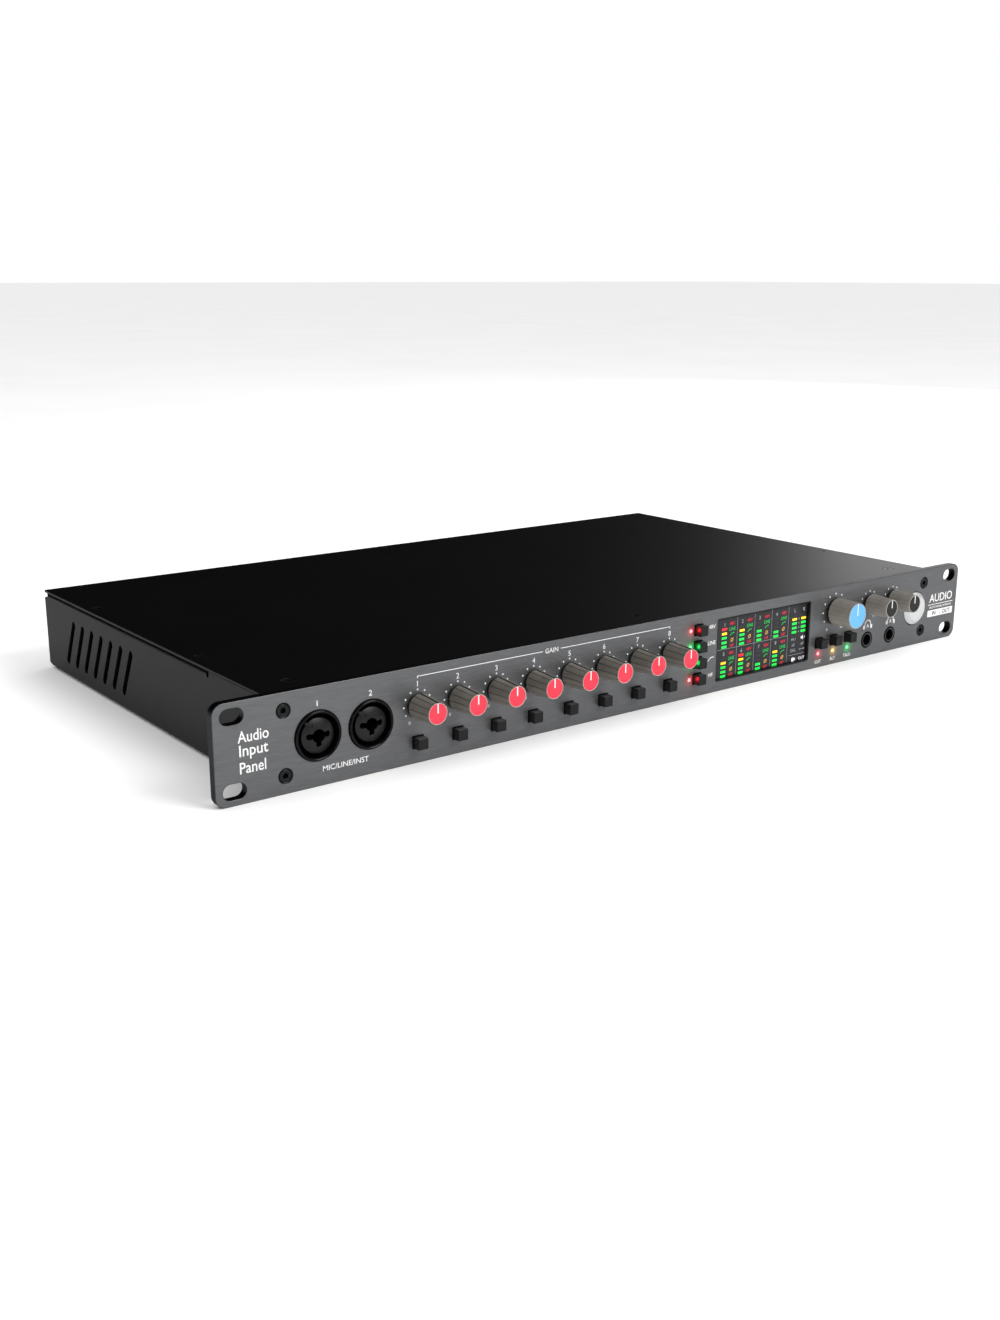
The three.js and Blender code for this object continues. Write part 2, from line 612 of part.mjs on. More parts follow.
function clockSockets() {
  const [left, right] = REAR.clockX;
  const tip = REAR_FACE + CLOCK.length;
  const body = block([left - 7, 234, -7], [right + 7, REAR_BODY, 7]);
  const barrels = REAR.clockX.flatMap((x) => [
    rod(CLOCK.base, REAR_BODY - 1, REAR_FACE + 1, x, 0),
    rod(CLOCK.barrel, REAR_FACE, tip, x, 0),
    rod(0.9, tip - 5, tip - 3.5, x, CLOCK.barrel, 6),
    rod(0.9, tip - 5, tip - 3.5, x, -CLOCK.barrel, 6),
  ]);
  const hollows = REAR.clockX.map((x) => {
    const ring = [[1.2, REAR_FACE], [3.9, REAR_FACE], [3.9, tip + 1], [1.2, tip + 1], [1.2, REAR_FACE]];
    return turned(ring, SMALL_ROUND).translate(x, 0, 0);
  });
  const shortened = REAR.clockX.map((x) => rod(1.3, tip - 2, tip + 1, x, 0, 8));
  return cut(join(body, ...barrels), ...hollows, ...shortened);
}

function midiSockets() {
  const [left, right] = REAR.midiX;
  const body = block([left - 9.8, 234, -10], [right + 9.8, REAR_BODY, 10]);
  const noses = REAR.midiX.map((x) => rod(DIN_RADIUS, REAR_BODY - 1, REAR_FACE + 0.6, x, 0, 16));
  const grooves = REAR.midiX.map((x) => {
    const [inner, outer, bottom, mouth] = [5.6, 6.7, REAR_FACE - 8, REAR_FACE + 2];
    const ring = [[inner, bottom], [outer, bottom], [outer, mouth], [inner, mouth], [inner, bottom]];
    return turned(ring, 16).translate(x, 0, 0);
  });
  return cut(join(body, ...noses), ...grooves);
}

function usbSocket() {
  const [w, h] = [USB.width / 2, USB.height / 2];
  const shell = block([REAR.usbX - w, 240, -h], [REAR.usbX + w, REAR_FACE + 0.3, h]);
  const mouth = block([REAR.usbX - w + 0.4, 244, -h + 0.4], [REAR.usbX + w - 0.4, REAR_FACE + 1, h - 0.4]);
  const tongue = block([REAR.usbX - 3.3, 243, -0.35], [REAR.usbX + 3.3, REAR_FACE - 0.8, 0.35]);
  return join(cut(shell, mouth), tongue);
}

function mainsInlet() {
  const [w, h] = [INLET.width / 2, INLET.height / 2];
  const x = REAR.inletX;
  const body = block([x - w, 226, -h], [x + w, REAR_FACE + 1, h]);
  const flange = block([x - w - 2, REAR_FACE + GAP, -h - 2], [x + w + 2, REAR_FACE + 2.2, h + 2]);
  const recess = block([x - 12.2, 236, -8], [x + 12.2, REAR_FACE + 3, 8]);
  const pins = [[-7, -2], [7, -2], [0, 2.5]].map(([dx, z]) =>
    block([x + dx - 1, 235, z - 2], [x + dx + 1, REAR_FACE - 2, z + 2]));
  return join(cut(join(body, flange), recess), ...pins);
}

// ---------------------------------------------------------------- assembly

add("front_panel", frontPanel(), panelAluminium);
screwPlaces.forEach(([x, z], i) => add(`panel_screw_${i + 1}`, panelScrew(), screwBlack, x, 0.15, z));
add("chassis_base", chassisBase(), caseSteel);
add("top_cover", topCover(), caseSteel);
add("rear_panel", rearPanel(), caseSteel);

for (const i of steps(GAIN.count)) {
  add(`gain_knob_${i + 1}`, knob(SMALL_KNOB), knobGrey, gainX(i), 0, GAIN.z);
  add(`channel_button_${i + 1}`, button(), buttonBlack, gainX(i), 0, CHANNEL_BUTTON_Z);
}
FUNCTION_NAMES.forEach((name, i) => add(name, button(), buttonBlack, FUNCTION.x, 0, functionZ(i)));
MONITOR_NAMES.forEach((name, i) => add(name, button(), buttonBlack, monitorButtonX(i), 0, MONITOR_BUTTONS.z));
add("monitor_knob", knob(LARGE_KNOB), knobGrey, MONITOR_KNOB.x, 0, MONITOR_KNOB.z);
add("phones_knob_a", knob(SMALL_KNOB), knobGrey, PHONES.ax, 0, PHONES.knobZ);
add("phones_knob_b", knob(SMALL_KNOB), knobGrey, PHONES.bx, 0, PHONES.knobZ);
add("power_button", powerButton(), buttonSilver, POWER.x, 0, POWER.z);
add("power_switch", powerSwitch(), moduleGrey);

const stripY = [6.6, 8.4];
const functionLights = lightPlaces.slice(0, FUNCTION_NAMES.length);
const monitorLights = lightPlaces.slice(FUNCTION_NAMES.length);
add("function_light_guide", lightStrip(
  functionLights,
  [FUNCTION.lightX - 1.3, stripY[0], functionZ(FUNCTION_NAMES.length - 1) - 2],
  [FUNCTION.lightX + 1.3, stripY[1], functionZ(0) + 2],
), lightGuide);
add("monitor_light_guide", lightStrip(
  monitorLights,
  [monitorButtonX(0) - 2, stripY[0], MONITOR_BUTTONS.lightZ - 1.3],
  [monitorButtonX(MONITOR_NAMES.length - 1) + 2, stripY[1], MONITOR_BUTTONS.lightZ + 1.3],
), lightGuide);

add("display_window", displayWindow(), windowBlack);
add("display_module", displayModule(), moduleGrey);
add("front_board", frontBoard(), boardGreen);
add("main_board", mainBoard(), boardGreen);
add("power_supply", powerSupply(), boardGreen);
add("ribbon_cable", ribbonCable(), cableGrey);

COMBO.frontX.forEach((x, i) => add(`combo_jack_${i + 1}`, comboJack(), socketBlack, x, 0, COMBO.z));
add("phones_jack_a", phonesJack(), socketBlack, PHONES.ax, 0, PHONES.jackZ);
add("phones_jack_b", phonesJack(), socketBlack, PHONES.bx, 0, PHONES.jackZ);

// A rear combination jack is the front one turned half a turn about Z.
const REAR_COMBO_Y = REAR_FACE + GAP;
REAR.comboX.forEach((x, i) => {
  const turnedRound = comboJack().rotateZ(Math.PI).translate(x, REAR_COMBO_Y, REAR.comboZ);
  add(`combo_jack_${i + 3}`, turnedRound, socketBlack);
});
add("output_jack_bank", outputJackBank(), socketBlack);
add("optical_ports", opticalPorts(), socketBlack);
add("clock_sockets", clockSockets(), plainMetal);
add("midi_sockets", midiSockets(), socketBlack);
add("usb_socket", usbSocket(), plainMetal);
add("mains_inlet", mainsInlet(), socketBlack);

// The origin: under the middle of the whole object, level with the panel's lower edge.
const rearmost = REAR_FACE + CLOCK.length;
unit.position.set(0, -(KNOB.front + rearmost) / 2, PANEL.height / 2);
const audioInterface = new THREE.Group();
audioInterface.add(unit);

export default audioInterface;
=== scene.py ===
"""Looks of the rack-mounted audio interface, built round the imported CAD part.

Lengths in this file are millimetres and angles degrees, unless a name says otherwise. Places are given from
the middle of the front panel's front face: x to the right, y into the depth, z up. piece() turns them into
metres in the part's frame.
"""

import json
import math

import bmesh
import bpy
from mathutils import Matrix, Vector

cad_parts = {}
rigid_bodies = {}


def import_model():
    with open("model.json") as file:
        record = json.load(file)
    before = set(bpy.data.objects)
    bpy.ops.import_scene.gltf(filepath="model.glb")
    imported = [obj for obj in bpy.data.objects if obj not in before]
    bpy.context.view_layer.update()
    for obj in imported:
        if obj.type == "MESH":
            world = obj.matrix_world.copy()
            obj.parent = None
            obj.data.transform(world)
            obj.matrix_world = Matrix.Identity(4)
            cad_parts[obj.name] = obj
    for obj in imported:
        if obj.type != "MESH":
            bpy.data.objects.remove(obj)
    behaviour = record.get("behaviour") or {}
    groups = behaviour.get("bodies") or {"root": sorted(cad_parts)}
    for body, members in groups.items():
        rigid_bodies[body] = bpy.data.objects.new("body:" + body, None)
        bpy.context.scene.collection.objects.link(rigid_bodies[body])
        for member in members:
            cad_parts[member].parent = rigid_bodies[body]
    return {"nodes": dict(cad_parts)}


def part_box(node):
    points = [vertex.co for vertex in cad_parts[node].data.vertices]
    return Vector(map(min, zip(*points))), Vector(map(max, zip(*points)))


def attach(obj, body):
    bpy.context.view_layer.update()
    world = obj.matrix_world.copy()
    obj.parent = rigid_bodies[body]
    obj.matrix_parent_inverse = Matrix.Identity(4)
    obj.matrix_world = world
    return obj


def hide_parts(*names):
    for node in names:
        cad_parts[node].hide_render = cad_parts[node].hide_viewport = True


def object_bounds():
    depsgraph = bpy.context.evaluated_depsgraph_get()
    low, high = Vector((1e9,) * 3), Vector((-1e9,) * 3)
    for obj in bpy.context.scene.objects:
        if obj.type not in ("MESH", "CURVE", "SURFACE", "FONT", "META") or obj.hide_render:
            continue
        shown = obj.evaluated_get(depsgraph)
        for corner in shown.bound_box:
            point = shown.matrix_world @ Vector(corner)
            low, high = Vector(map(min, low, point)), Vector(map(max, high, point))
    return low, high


MM = 0.001
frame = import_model()
cad_lo, cad_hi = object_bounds()
nodes = frame["nodes"]

panel_lo, panel_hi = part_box("front_panel")
ORIGIN = Vector((0, panel_lo.y, (panel_lo.z + panel_hi.z) / 2))
TO_FRAME = Matrix.Translation(ORIGIN) @ Matrix.Scale(MM, 4)


def extent(node):
    """Lowest and highest corner of a CAD node, in mm from the panel's middle."""
    lo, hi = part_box(node)
    return (lo - ORIGIN) / MM, (hi - ORIGIN) / MM


def middle(node):
    """x and z of a CAD node's middle."""
    lo, hi = extent(node)
    return (lo.x + hi.x) / 2, (lo.z + hi.z) / 2


# ------------------------------------------------------------------------------------ materials


def srgb(r, g, b):
    """A colour given as 0 to 255 display values, as linear light."""
    def linear(v):
        v /= 255
        return v / 12.92 if v <= 0.04045 else ((v + 0.055) / 1.055) ** 2.4
    return (linear(r), linear(g), linear(b), 1)


class Nodes:
    """Short ways to add and link the nodes of one material."""

    def __init__(self, name):
        self.material = bpy.data.materials.new(name)
        self.material.use_nodes = True
        self.tree = self.material.node_tree
        self.shader = self.tree.nodes["Principled BSDF"]
        self.object_coords = self.tree.nodes.new("ShaderNodeTexCoord").outputs["Object"]

    def add(self, kind, values=None, **settings):
        """A node with settings, and with values or links for its inputs."""
        node = self.tree.nodes.new(kind)
        for key, value in settings.items():
            setattr(node, key, value)
        for key, value in (values or {}).items():
            if isinstance(value, bpy.types.NodeSocket):
                self.tree.links.new(value, node.inputs[key])
            else:
                node.inputs[key].default_value = value
        return node

    def link(self, output, key):
        self.tree.links.new(output, self.shader.inputs[key])

    def scaled(self, stretch=(1, 1, 1)):
        """Object coordinates in mm, stretched per axis."""
        scale = [1 / MM * s for s in stretch]
        return self.add("ShaderNodeMapping", {"Vector": self.object_coords, "Scale": scale}).outputs["Vector"]

    def noise(self, vector, scale, detail=3, roughness=0.55):
        values = {"Vector": vector, "Scale": scale, "Detail": detail, "Roughness": roughness}
        return self.add("ShaderNodeTexNoise", values).outputs["Fac"]

    def ranged(self, value, low, high, start=0.3, end=0.7):
        values = {"Value": value, "From Min": start, "From Max": end, "To Min": low, "To Max": high}
        return self.add("ShaderNodeMapRange", values).outputs["Result"]

    def mixed(self, factor, first, second):
        node = self.tree.nodes.new("ShaderNodeMix")
        node.data_type = "RGBA"
        for index, value in ((0, factor), (6, first), (7, second)):
            if isinstance(value, bpy.types.NodeSocket):
                self.tree.links.new(value, node.inputs[index])
            else:
                node.inputs[index].default_value = value
        return node.outputs[2]

    def toned(self, factor, dark, light):
        """Base colour between two tones, each given as 0 to 255 display values."""
        self.link(self.mixed(factor, srgb(*dark), srgb(*light)), "Base Color")

    def bumped(self, height, depth, strength=1.0):
        node = self.add("ShaderNodeBump", {"Height": height, "Distance": depth * MM, "Strength": strength})
        self.link(node.outputs["Normal"], "Normal")


def surface(name, dark, light, rough=(0.35, 0.5), metallic=0.0, stretch=(1, 1, 1), blotch=0.15, grain=3.0,
            bump=0.02, specular=0.5):
    """A moulded, painted or metal surface: slow changes of tone, and a fine grain in its gloss and bumps."""
    n = Nodes(name)
    coords = n.scaled(stretch)
    slow = n.noise(coords, blotch, 4)
    fine = n.noise(coords, grain, 3)
    both = n.add("ShaderNodeMath", {0: slow, 1: fine}, operation="ADD").outputs[0]
    n.toned(n.ranged(both, 0, 1, 0.7, 1.3), dark, light)
    n.link(n.ranged(fine, rough[0], rough[1]), "Roughness")
    n.bumped(fine, bump)
    n.shader.inputs["Metallic"].default_value = metallic
    n.shader.inputs["Specular IOR Level"].default_value = specular
    return n.material


def brushed(name, dark, light, rough=(0.34, 0.46), grain=2.2, bump=0.006, metallic=1.0):
    """Metal brushed along one axis: long fine streaks of tone and gloss over slower bands."""
    n = Nodes(name)
    fine = n.noise(n.scaled((0.05, 1, 1)), grain, 5, 0.65)
    bands = n.noise(n.scaled((0.02, 1, 1)), grain / 3, 2)
    softer = n.ranged(bands, 0.4, 0.6, 0, 1)
    both = n.add("ShaderNodeMath", {0: fine, 1: softer}, operation="ADD").outputs[0]
    n.toned(n.ranged(both, 0, 1, 0.75, 1.25), dark, light)
    n.link(n.ranged(both, rough[0], rough[1], 0.75, 1.25), "Roughness")
    n.bumped(fine, bump)
    n.shader.inputs["Metallic"].default_value = metallic
    return n.material


def glowing(name, colour, strength, dim=0.75):
    """A lit segment: an even glow with a slightly duller, cloudy edge of tone."""
    n = Nodes(name)
    cloud = n.noise(n.scaled(), 0.9, 2)
    bright = srgb(*colour)
    darker = tuple(c * dim for c in bright[:3]) + (1,)
    tone = n.mixed(n.ranged(cloud, 0, 1), darker, bright)
    n.link(tone, "Emission Color")
    n.link(tone, "Base Color")
    n.shader.inputs["Emission Strength"].default_value = strength
    n.shader.inputs["Roughness"].default_value = 0.4
    return n.material


def powder_coat(name, dark, light):
    """Fine textured powder coat: small soft pimples with a slow drift of tone."""
    n = Nodes(name)
    coords = n.scaled()
    cells = n.add("ShaderNodeTexVoronoi", {"Vector": coords, "Scale": 1.6, "Randomness": 1.0},
                  feature="SMOOTH_F1").outputs["Distance"]
    fine = n.noise(coords, 2.5, 4)
    slow = n.noise(coords, 0.02, 4)
    height = n.add("ShaderNodeMath", {0: cells, 1: fine}, operation="MULTIPLY").outputs[0]
    n.toned(n.ranged(slow, 0, 1), dark, light)
    n.link(n.ranged(fine, 0.38, 0.48), "Roughness")
    n.bumped(height, 0.05, 0.6)
    n.shader.inputs["Specular IOR Level"].default_value = 0.5
    return n.material


def circuit_board(name):
    """Green solder mask over square-cornered copper areas."""
    n = Nodes(name)
    coords = n.scaled()
    bricks = n.add("ShaderNodeTexVoronoi", {"Vector": coords, "Scale": 0.16},
                   distance="CHEBYCHEV").outputs["Color"]
    tone = n.add("ShaderNodeSeparateColor", {"Color": bricks}).outputs[0]
    n.toned(n.ranged(tone, 0, 1, 0.35, 0.65), (12, 58, 34), (24, 92, 52))
    n.link(n.ranged(n.noise(coords, 1.2), 0.3, 0.45), "Roughness")
    n.bumped(tone, 0.04)
    return n.material


PANEL = brushed("panel_brushed", (124, 125, 127), (146, 147, 149), metallic=0.8)
# copies of the panel metal: the chamfer tone is painted light, set for the edge's highlight; the darker
# cut-side tone is painted shade
PANEL_CHAMFER_PAINTED_LIGHT = brushed("panel_chamfer_painted_light", (96, 97, 99), (122, 123, 125), (0.36, 0.46))
PANEL_SIDE_PAINTED_SHADE = brushed("panel_side_painted_shade", (50, 51, 52), (70, 71, 73), (0.4, 0.5))
COAT = powder_coat("case_powder_coat", (7, 7, 7), (12, 12, 12))
PRINT = surface("white_ink", (240, 240, 239), (254, 254, 253), (0.5, 0.62), grain=5, bump=0.004)
INK_DARK = surface("dark_ink", (60, 61, 63), (74, 75, 77), (0.5, 0.6), grain=5, bump=0.004)
KNOB = surface("knob_grey", (112, 107, 100), (132, 127, 120), (0.4, 0.55), grain=4, bump=0.015)
# lighter copy of the knob grey for the monitor and phones knobs: painted light for the brighter light they
# catch
KNOB_PAINTED_LIGHTER = surface("knob_grey_painted_lighter", (138, 133, 126), (160, 155, 148), (0.4, 0.55), grain=4, bump=0.015)
# pale tone of the knob's front rim: a painted highlight along its bevel
KNOB_RIM_PAINTED_HIGHLIGHT = surface("knob_rim_painted_highlight", (196, 192, 188), (222, 219, 215), (0.3, 0.42), grain=4, bump=0.008)
# near-black for the knob's grooves: painted shade in the grooves
KNOB_GROOVE_PAINTED_SHADE = surface("knob_groove_painted_shade", (20, 20, 20), (32, 31, 30), (0.5, 0.6), grain=5, bump=0.01)
COLLAR = surface("knob_collar", (16, 16, 16), (25, 25, 26), (0.45, 0.6), grain=4, bump=0.02)
CAP_RED = surface("cap_red", (238, 44, 68), (250, 62, 84), (0.42, 0.55), grain=4, bump=0.01)
CAP_BLUE = surface("cap_blue", (96, 176, 236), (114, 192, 248), (0.42, 0.55), grain=4, bump=0.01)
CAP_BLACK = surface("cap_black", (28, 28, 27), (38, 38, 37), (0.4, 0.52), grain=4, bump=0.012)
POINTER = surface("pointer_white", (234, 234, 232), (252, 252, 250), (0.4, 0.5), grain=5, bump=0.004)
BUTTON = surface("button_black", (20, 20, 21), (29, 29, 30), (0.26, 0.36), grain=5, bump=0.008, specular=0.4)
SOCKET = surface("socket_black", (7, 7, 8), (13, 13, 14), (0.18, 0.28), grain=3, bump=0.006, specular=0.28)
INSERT = surface("insert_dark", (17, 17, 18), (26, 26, 27), (0.3, 0.4), grain=4, bump=0.008)
RING = surface("ring_grey", (66, 66, 68), (84, 84, 86), (0.3, 0.4), grain=4, bump=0.006)
# near-black for the inside of holes, bores and recesses: the parts' own black, darkened further as painted
# shade
BORE_PAINTED_SHADE = surface("bore_black_painted_shade", (3, 3, 3), (7, 7, 7), (0.5, 0.65), grain=3, bump=0.01, specular=0.2)
CONTACT = brushed("contact_nickel", (150, 148, 140), (190, 188, 178), (0.25, 0.4), 1.5, 0.004)
NICKEL = surface("nickel", (178, 178, 176), (206, 206, 204), (0.16, 0.28), 1.0, grain=2, bump=0.006)
BRASS = surface("gilt", (196, 160, 86), (222, 190, 120), (0.2, 0.32), 1.0, grain=2, bump=0.006)
SCREW = surface("screw_black_oxide", (32, 33, 34), (46, 47, 48), (0.3, 0.44), 0.6, grain=4, bump=0.01)
SILVER = surface("button_satin", (226, 227, 228), (240, 241, 242), (0.3, 0.36), 0.4, grain=3, bump=0.0005)
RECESS = surface("recess_black", (10, 10, 11), (18, 18, 19), (0.35, 0.5), grain=4, bump=0.01)
SCREEN = surface("screen_grey", (38, 38, 41), (44, 44, 47), (0.12, 0.2), blotch=0.05, grain=2, bump=0.001)
MODULE = surface("module_grey", (58, 60, 64), (72, 74, 78), (0.4, 0.55), 0.3, grain=2, bump=0.02)
GUIDE = surface("light_guide", (206, 206, 200), (228, 228, 222), (0.2, 0.3), grain=2, bump=0.004)
BOARD = circuit_board("board_green")
CABLE = surface("cable_grey", (128, 130, 132), (152, 154, 156), (0.5, 0.6), stretch=(1, 0.02, 0.02),
                grain=0.8, bump=0.08)
LIT_RED = glowing("lit_red", (250, 30, 40), 1.0)
LIT_YELLOW = glowing("lit_yellow", (255, 206, 24), 1.0)
LIT_GREEN = glowing("lit_green", (10, 224, 72), 0.9)
LIT_ORANGE = glowing("lit_orange", (206, 152, 78), 0.8)
LIT_WHITE = glowing("lit_white", (226, 226, 228), 0.8)
DIM_RED = glowing("dim_red", (206, 26, 54), 0.62)
DIM_GREEN = glowing("dim_green", (18, 168, 68), 0.85)
DIM_WHITE = glowing("dim_white", (150, 151, 155), 0.5)
UNLIT = glowing("unlit_segment", (50, 50, 54), 0.15)
LED_RED = glowing("led_red", (255, 158, 164), 1.25, 0.9)
LED_GREEN = glowing("led_green", (128, 250, 168), 1.15, 0.9)
LED_AMBER = glowing("led_amber", (255, 214, 140), 1.25, 0.9)


# ------------------------------------------------------------------------------------ mesh making

STEP = 30  # edges that turn by more degrees than this look sharp
WELD = 0.0015  # points closer than this become one


def placed(name, data):
    """A new object of some data, in the scene."""
    obj = bpy.data.objects.new(name, data)
    bpy.context.scene.collection.objects.link(obj)
    return obj


def evaluated(obj):
    """A new mesh of an object with its modifiers or curve settings applied."""
    return bpy.data.meshes.new_from_object(obj.evaluated_get(bpy.context.evaluated_depsgraph_get()))


def soften(bm):
    """Smooth shading everywhere but across edges sharper than STEP."""
    bmesh.ops.remove_doubles(bm, verts=bm.verts, dist=WELD)
    for face in bm.faces:
        face.smooth = True
    for edge in bm.edges:
        if len(edge.link_faces) == 2:
            edge.smooth = edge.calc_face_angle(0) < math.radians(STEP)


def piece(name, bm, materials, body, slot=None, replaces=()):
    """Makes the finished object, in the frame's metres, riding on its CAD body."""
    soften(bm)
    bm.transform(TO_FRAME)
    mesh = bpy.data.meshes.new(name)
    bm.to_mesh(mesh)
    bm.free()
    for material in materials:
        mesh.materials.append(material)
    obj = placed(name, mesh)
    # large faces keep their own normals, so that a rounded edge beside them doesn't shade them
    weighted = obj.modifiers.new("weighted", "WEIGHTED_NORMAL")
    weighted.keep_sharp = True
    flat = evaluated(obj)
    obj.modifiers.remove(weighted)
    obj.data = flat
    bpy.data.meshes.remove(mesh)
    flat.name = name
    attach(obj, body)
    if replaces:
        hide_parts(*replaces)


def closed_piece(name, bm, *settings):
    """piece(), with every face first turned outwards."""
    bmesh.ops.recalc_face_normals(bm, faces=bm.faces)
    piece(name, bm, *settings)


def bridge(bm, ring, following, mat=0):
    """Faces between two rings of as many points."""
    for i in range(len(ring)):
        j = (i + 1) % len(ring)
        bm.faces.new((ring[i], ring[j], following[j], following[i])).material_index = mat


def spin(bm, profile, x=0.0, z=0.0, steps=48, mats=None):
    """Turns a profile of (radius, y) points about the axis through x and z, towards +y."""
    rings = []
    for radius, y in profile:
        if radius < 1e-6:
            rings.append([bm.verts.new((x, y, z))])
            continue
        turns = [2 * math.pi * i / steps for i in range(steps)]
        rings.append([bm.verts.new((x + radius * math.cos(t), y, z + radius * math.sin(t))) for t in turns])
    for index, (a, b) in enumerate(zip(rings, rings[1:])):
        mat = mats[index] if mats else 0
        for i in range(steps):
            j = (i + 1) % steps
            if len(a) == 1 and len(b) == 1:
                continue
            if len(a) == 1:
                corners = (a[0], b[j], b[i])
            elif len(b) == 1:
                corners = (a[i], a[j], b[0])
            else:
                corners = (a[i], a[j], b[j], b[i])
            bm.faces.new(corners).material_index = mat


def rounded(profile, radius=0.3, steps=3):
    """Rounds the inner corners of a (radius, y) profile with short arcs."""
    points = [Vector(p) for p in profile]
    out = [points[0]]
    for before, corner, after in zip(points, points[1:], points[2:]):
        reach = min(radius, (before - corner).length * 0.45, (after - corner).length * 0.45)
        a = corner + (before - corner).normalized() * reach
        b = corner + (after - corner).normalized() * reach
        for i in range(steps + 1):
            t = i / steps
            out.append(a * (1 - t) ** 2 + corner * 2 * t * (1 - t) + b * t ** 2)
    out.append(points[-1])
    return [tuple(p) for p in out]


def prism(bm, outline, y0, y1):
    """A closed solid of an (x, z) outline between two depths."""
    front = [bm.verts.new((x, y0, z)) for x, z in outline]
    back = [bm.verts.new((x, y1, z)) for x, z in outline]
    count = len(outline)
    bm.faces.new(front)
    bm.faces.new(back[::-1])
    for i in range(count):
        j = (i + 1) % count
        bm.faces.new((front[j], front[i], back[i], back[j]))


def block(bm, lo, hi, edge=0.0, mat=0, segments=3):
    """A box between two corners with rounded edges."""
    size = [b - a for a, b in zip(lo, hi)]
    centre = [(a + b) / 2 for a, b in zip(lo, hi)]
    matrix = Matrix.Translation(centre) @ Matrix.Diagonal((*size, 1))
    made = bmesh.ops.create_cube(bm, size=1, matrix=matrix)["verts"]
    faces = {face for vert in made for face in vert.link_faces}
    for face in faces:
        face.material_index = mat
    if edge:
        edges = list({e for vert in made for e in vert.link_edges})
        bmesh.ops.bevel(bm, geom=edges, offset=edge, segments=segments, profile=0.6, affect="EDGES",
                        material=-1, clamp_overlap=True)


def polar(x, z, radius, turn):
    """The point at a radius from x and z, at an angle in radians."""
    return x + radius * math.cos(turn), z + radius * math.sin(turn)


def circle(x, z, radius, steps=48):
    return [polar(x, z, radius, 2 * math.pi * i / steps) for i in range(steps)]


def hexagon(x, z, radius):
    return circle(x, z, radius, 6)


def rectangle(x, z, width, height, radius=0.0, steps=6):
    """Corners of a rectangle, each an arc if a radius is given."""
    if not radius:
        w, h = width / 2, height / 2
        return [(x + w, z + h), (x - w, z + h), (x - w, z - h), (x + w, z - h)]
    out = []
    for corner, (sx, sz) in enumerate(((1, 1), (-1, 1), (-1, -1), (1, -1))):
        for i in range(steps + 1):
            t = math.pi / 2 * (corner + i / steps)
            out.append((x + sx * (width / 2 - radius) + radius * math.cos(t),
                        z + sz * (height / 2 - radius) + radius * math.sin(t)))
    return out


def stadium(start, end, radius, steps=12):
    """A slot with round ends between two centres."""
    along = math.atan2(end[1] - start[1], end[0] - start[0])
    out = []
    for centre, first in ((end, along - math.pi / 2), (start, along + math.pi / 2)):
        for i in range(steps + 1):
            t = first + math.pi * i / steps
            out.append(polar(*centre, radius, t))
    return out


def mesh_of_curve(name, curve, weld):
    """A bmesh of a filled curve or text, with points closer than weld joined."""
    holder = placed(name, curve)
    mesh = evaluated(holder)
    bm = bmesh.new()
    bm.from_mesh(mesh)
    bmesh.ops.remove_doubles(bm, verts=bm.verts, dist=weld)
    bpy.data.objects.remove(holder)
    bpy.data.curves.remove(curve)
    bpy.data.meshes.remove(mesh)
    return bm


def plate(outline, holes, thickness, edge):
    """A bmesh of a plate in x and z, from y 0 to its thickness, with rounded edges and holes."""
    curve = bpy.data.curves.new("plate", "CURVE")
    curve.dimensions = "2D"
    curve.fill_mode = "BOTH"
    curve.extrude = thickness / 2 - edge
    curve.bevel_depth = edge
    curve.bevel_resolution = 2
    curve.offset = -edge
    for points in (outline, *holes):
        spline = curve.splines.new("POLY")
        spline.points.add(len(points) - 1)
        spline.use_cyclic_u = True
        for point, (x, z) in zip(spline.points, points):
            point.co = (x, z, 0, 1)
    bm = mesh_of_curve("plate", curve, 0.001)
    bm.transform(Matrix.Translation((0, thickness / 2, 0)) @ Matrix.Rotation(math.pi / 2, 4, "X"))
    bmesh.ops.recalc_face_normals(bm, faces=bm.faces)
    return bm


def add_mesh(bm, other, matrix=None, mat=None):
    """Adds a copy of one bmesh to another."""
    if matrix:
        other.transform(matrix)
    if mat is not None:
        for face in other.faces:
            face.material_index = mat
    mesh = bpy.data.meshes.new("part")
    other.to_mesh(mesh)
    other.free()
    bm.from_mesh(mesh)
    bpy.data.meshes.remove(mesh)


def carved(bm, cutters):
    """The bmesh less a list of closed cutters, each a bmesh."""
    def holder(source, name):
        mesh = bpy.data.meshes.new(name)
        source.to_mesh(mesh)
        source.free()
        return placed(name, mesh)
    tool = bmesh.new()
    for cutter in cutters:
        add_mesh(tool, cutter)
    bmesh.ops.recalc_face_normals(tool, faces=tool.faces)
    bmesh.ops.recalc_face_normals(bm, faces=bm.faces)
    target, knife = holder(bm, "target"), holder(tool, "knife")
    modifier = target.modifiers.new("cut", "BOOLEAN")
    modifier.operation = "DIFFERENCE"
    modifier.solver = "EXACT"
    modifier.object = knife
    mesh = evaluated(target)
    out = bmesh.new()
    out.from_mesh(mesh)
    for obj in (target, knife):
        bpy.data.objects.remove(obj)
    return out


def solid(outline, y0, y1):
    """A bmesh of one prism."""
    bm = bmesh.new()
    prism(bm, outline, y0, y1)
    return bm


# ------------------------------------------------------------------------------------ lettering

PRINT_Y = -0.05  # how far the ink stands proud of its surface


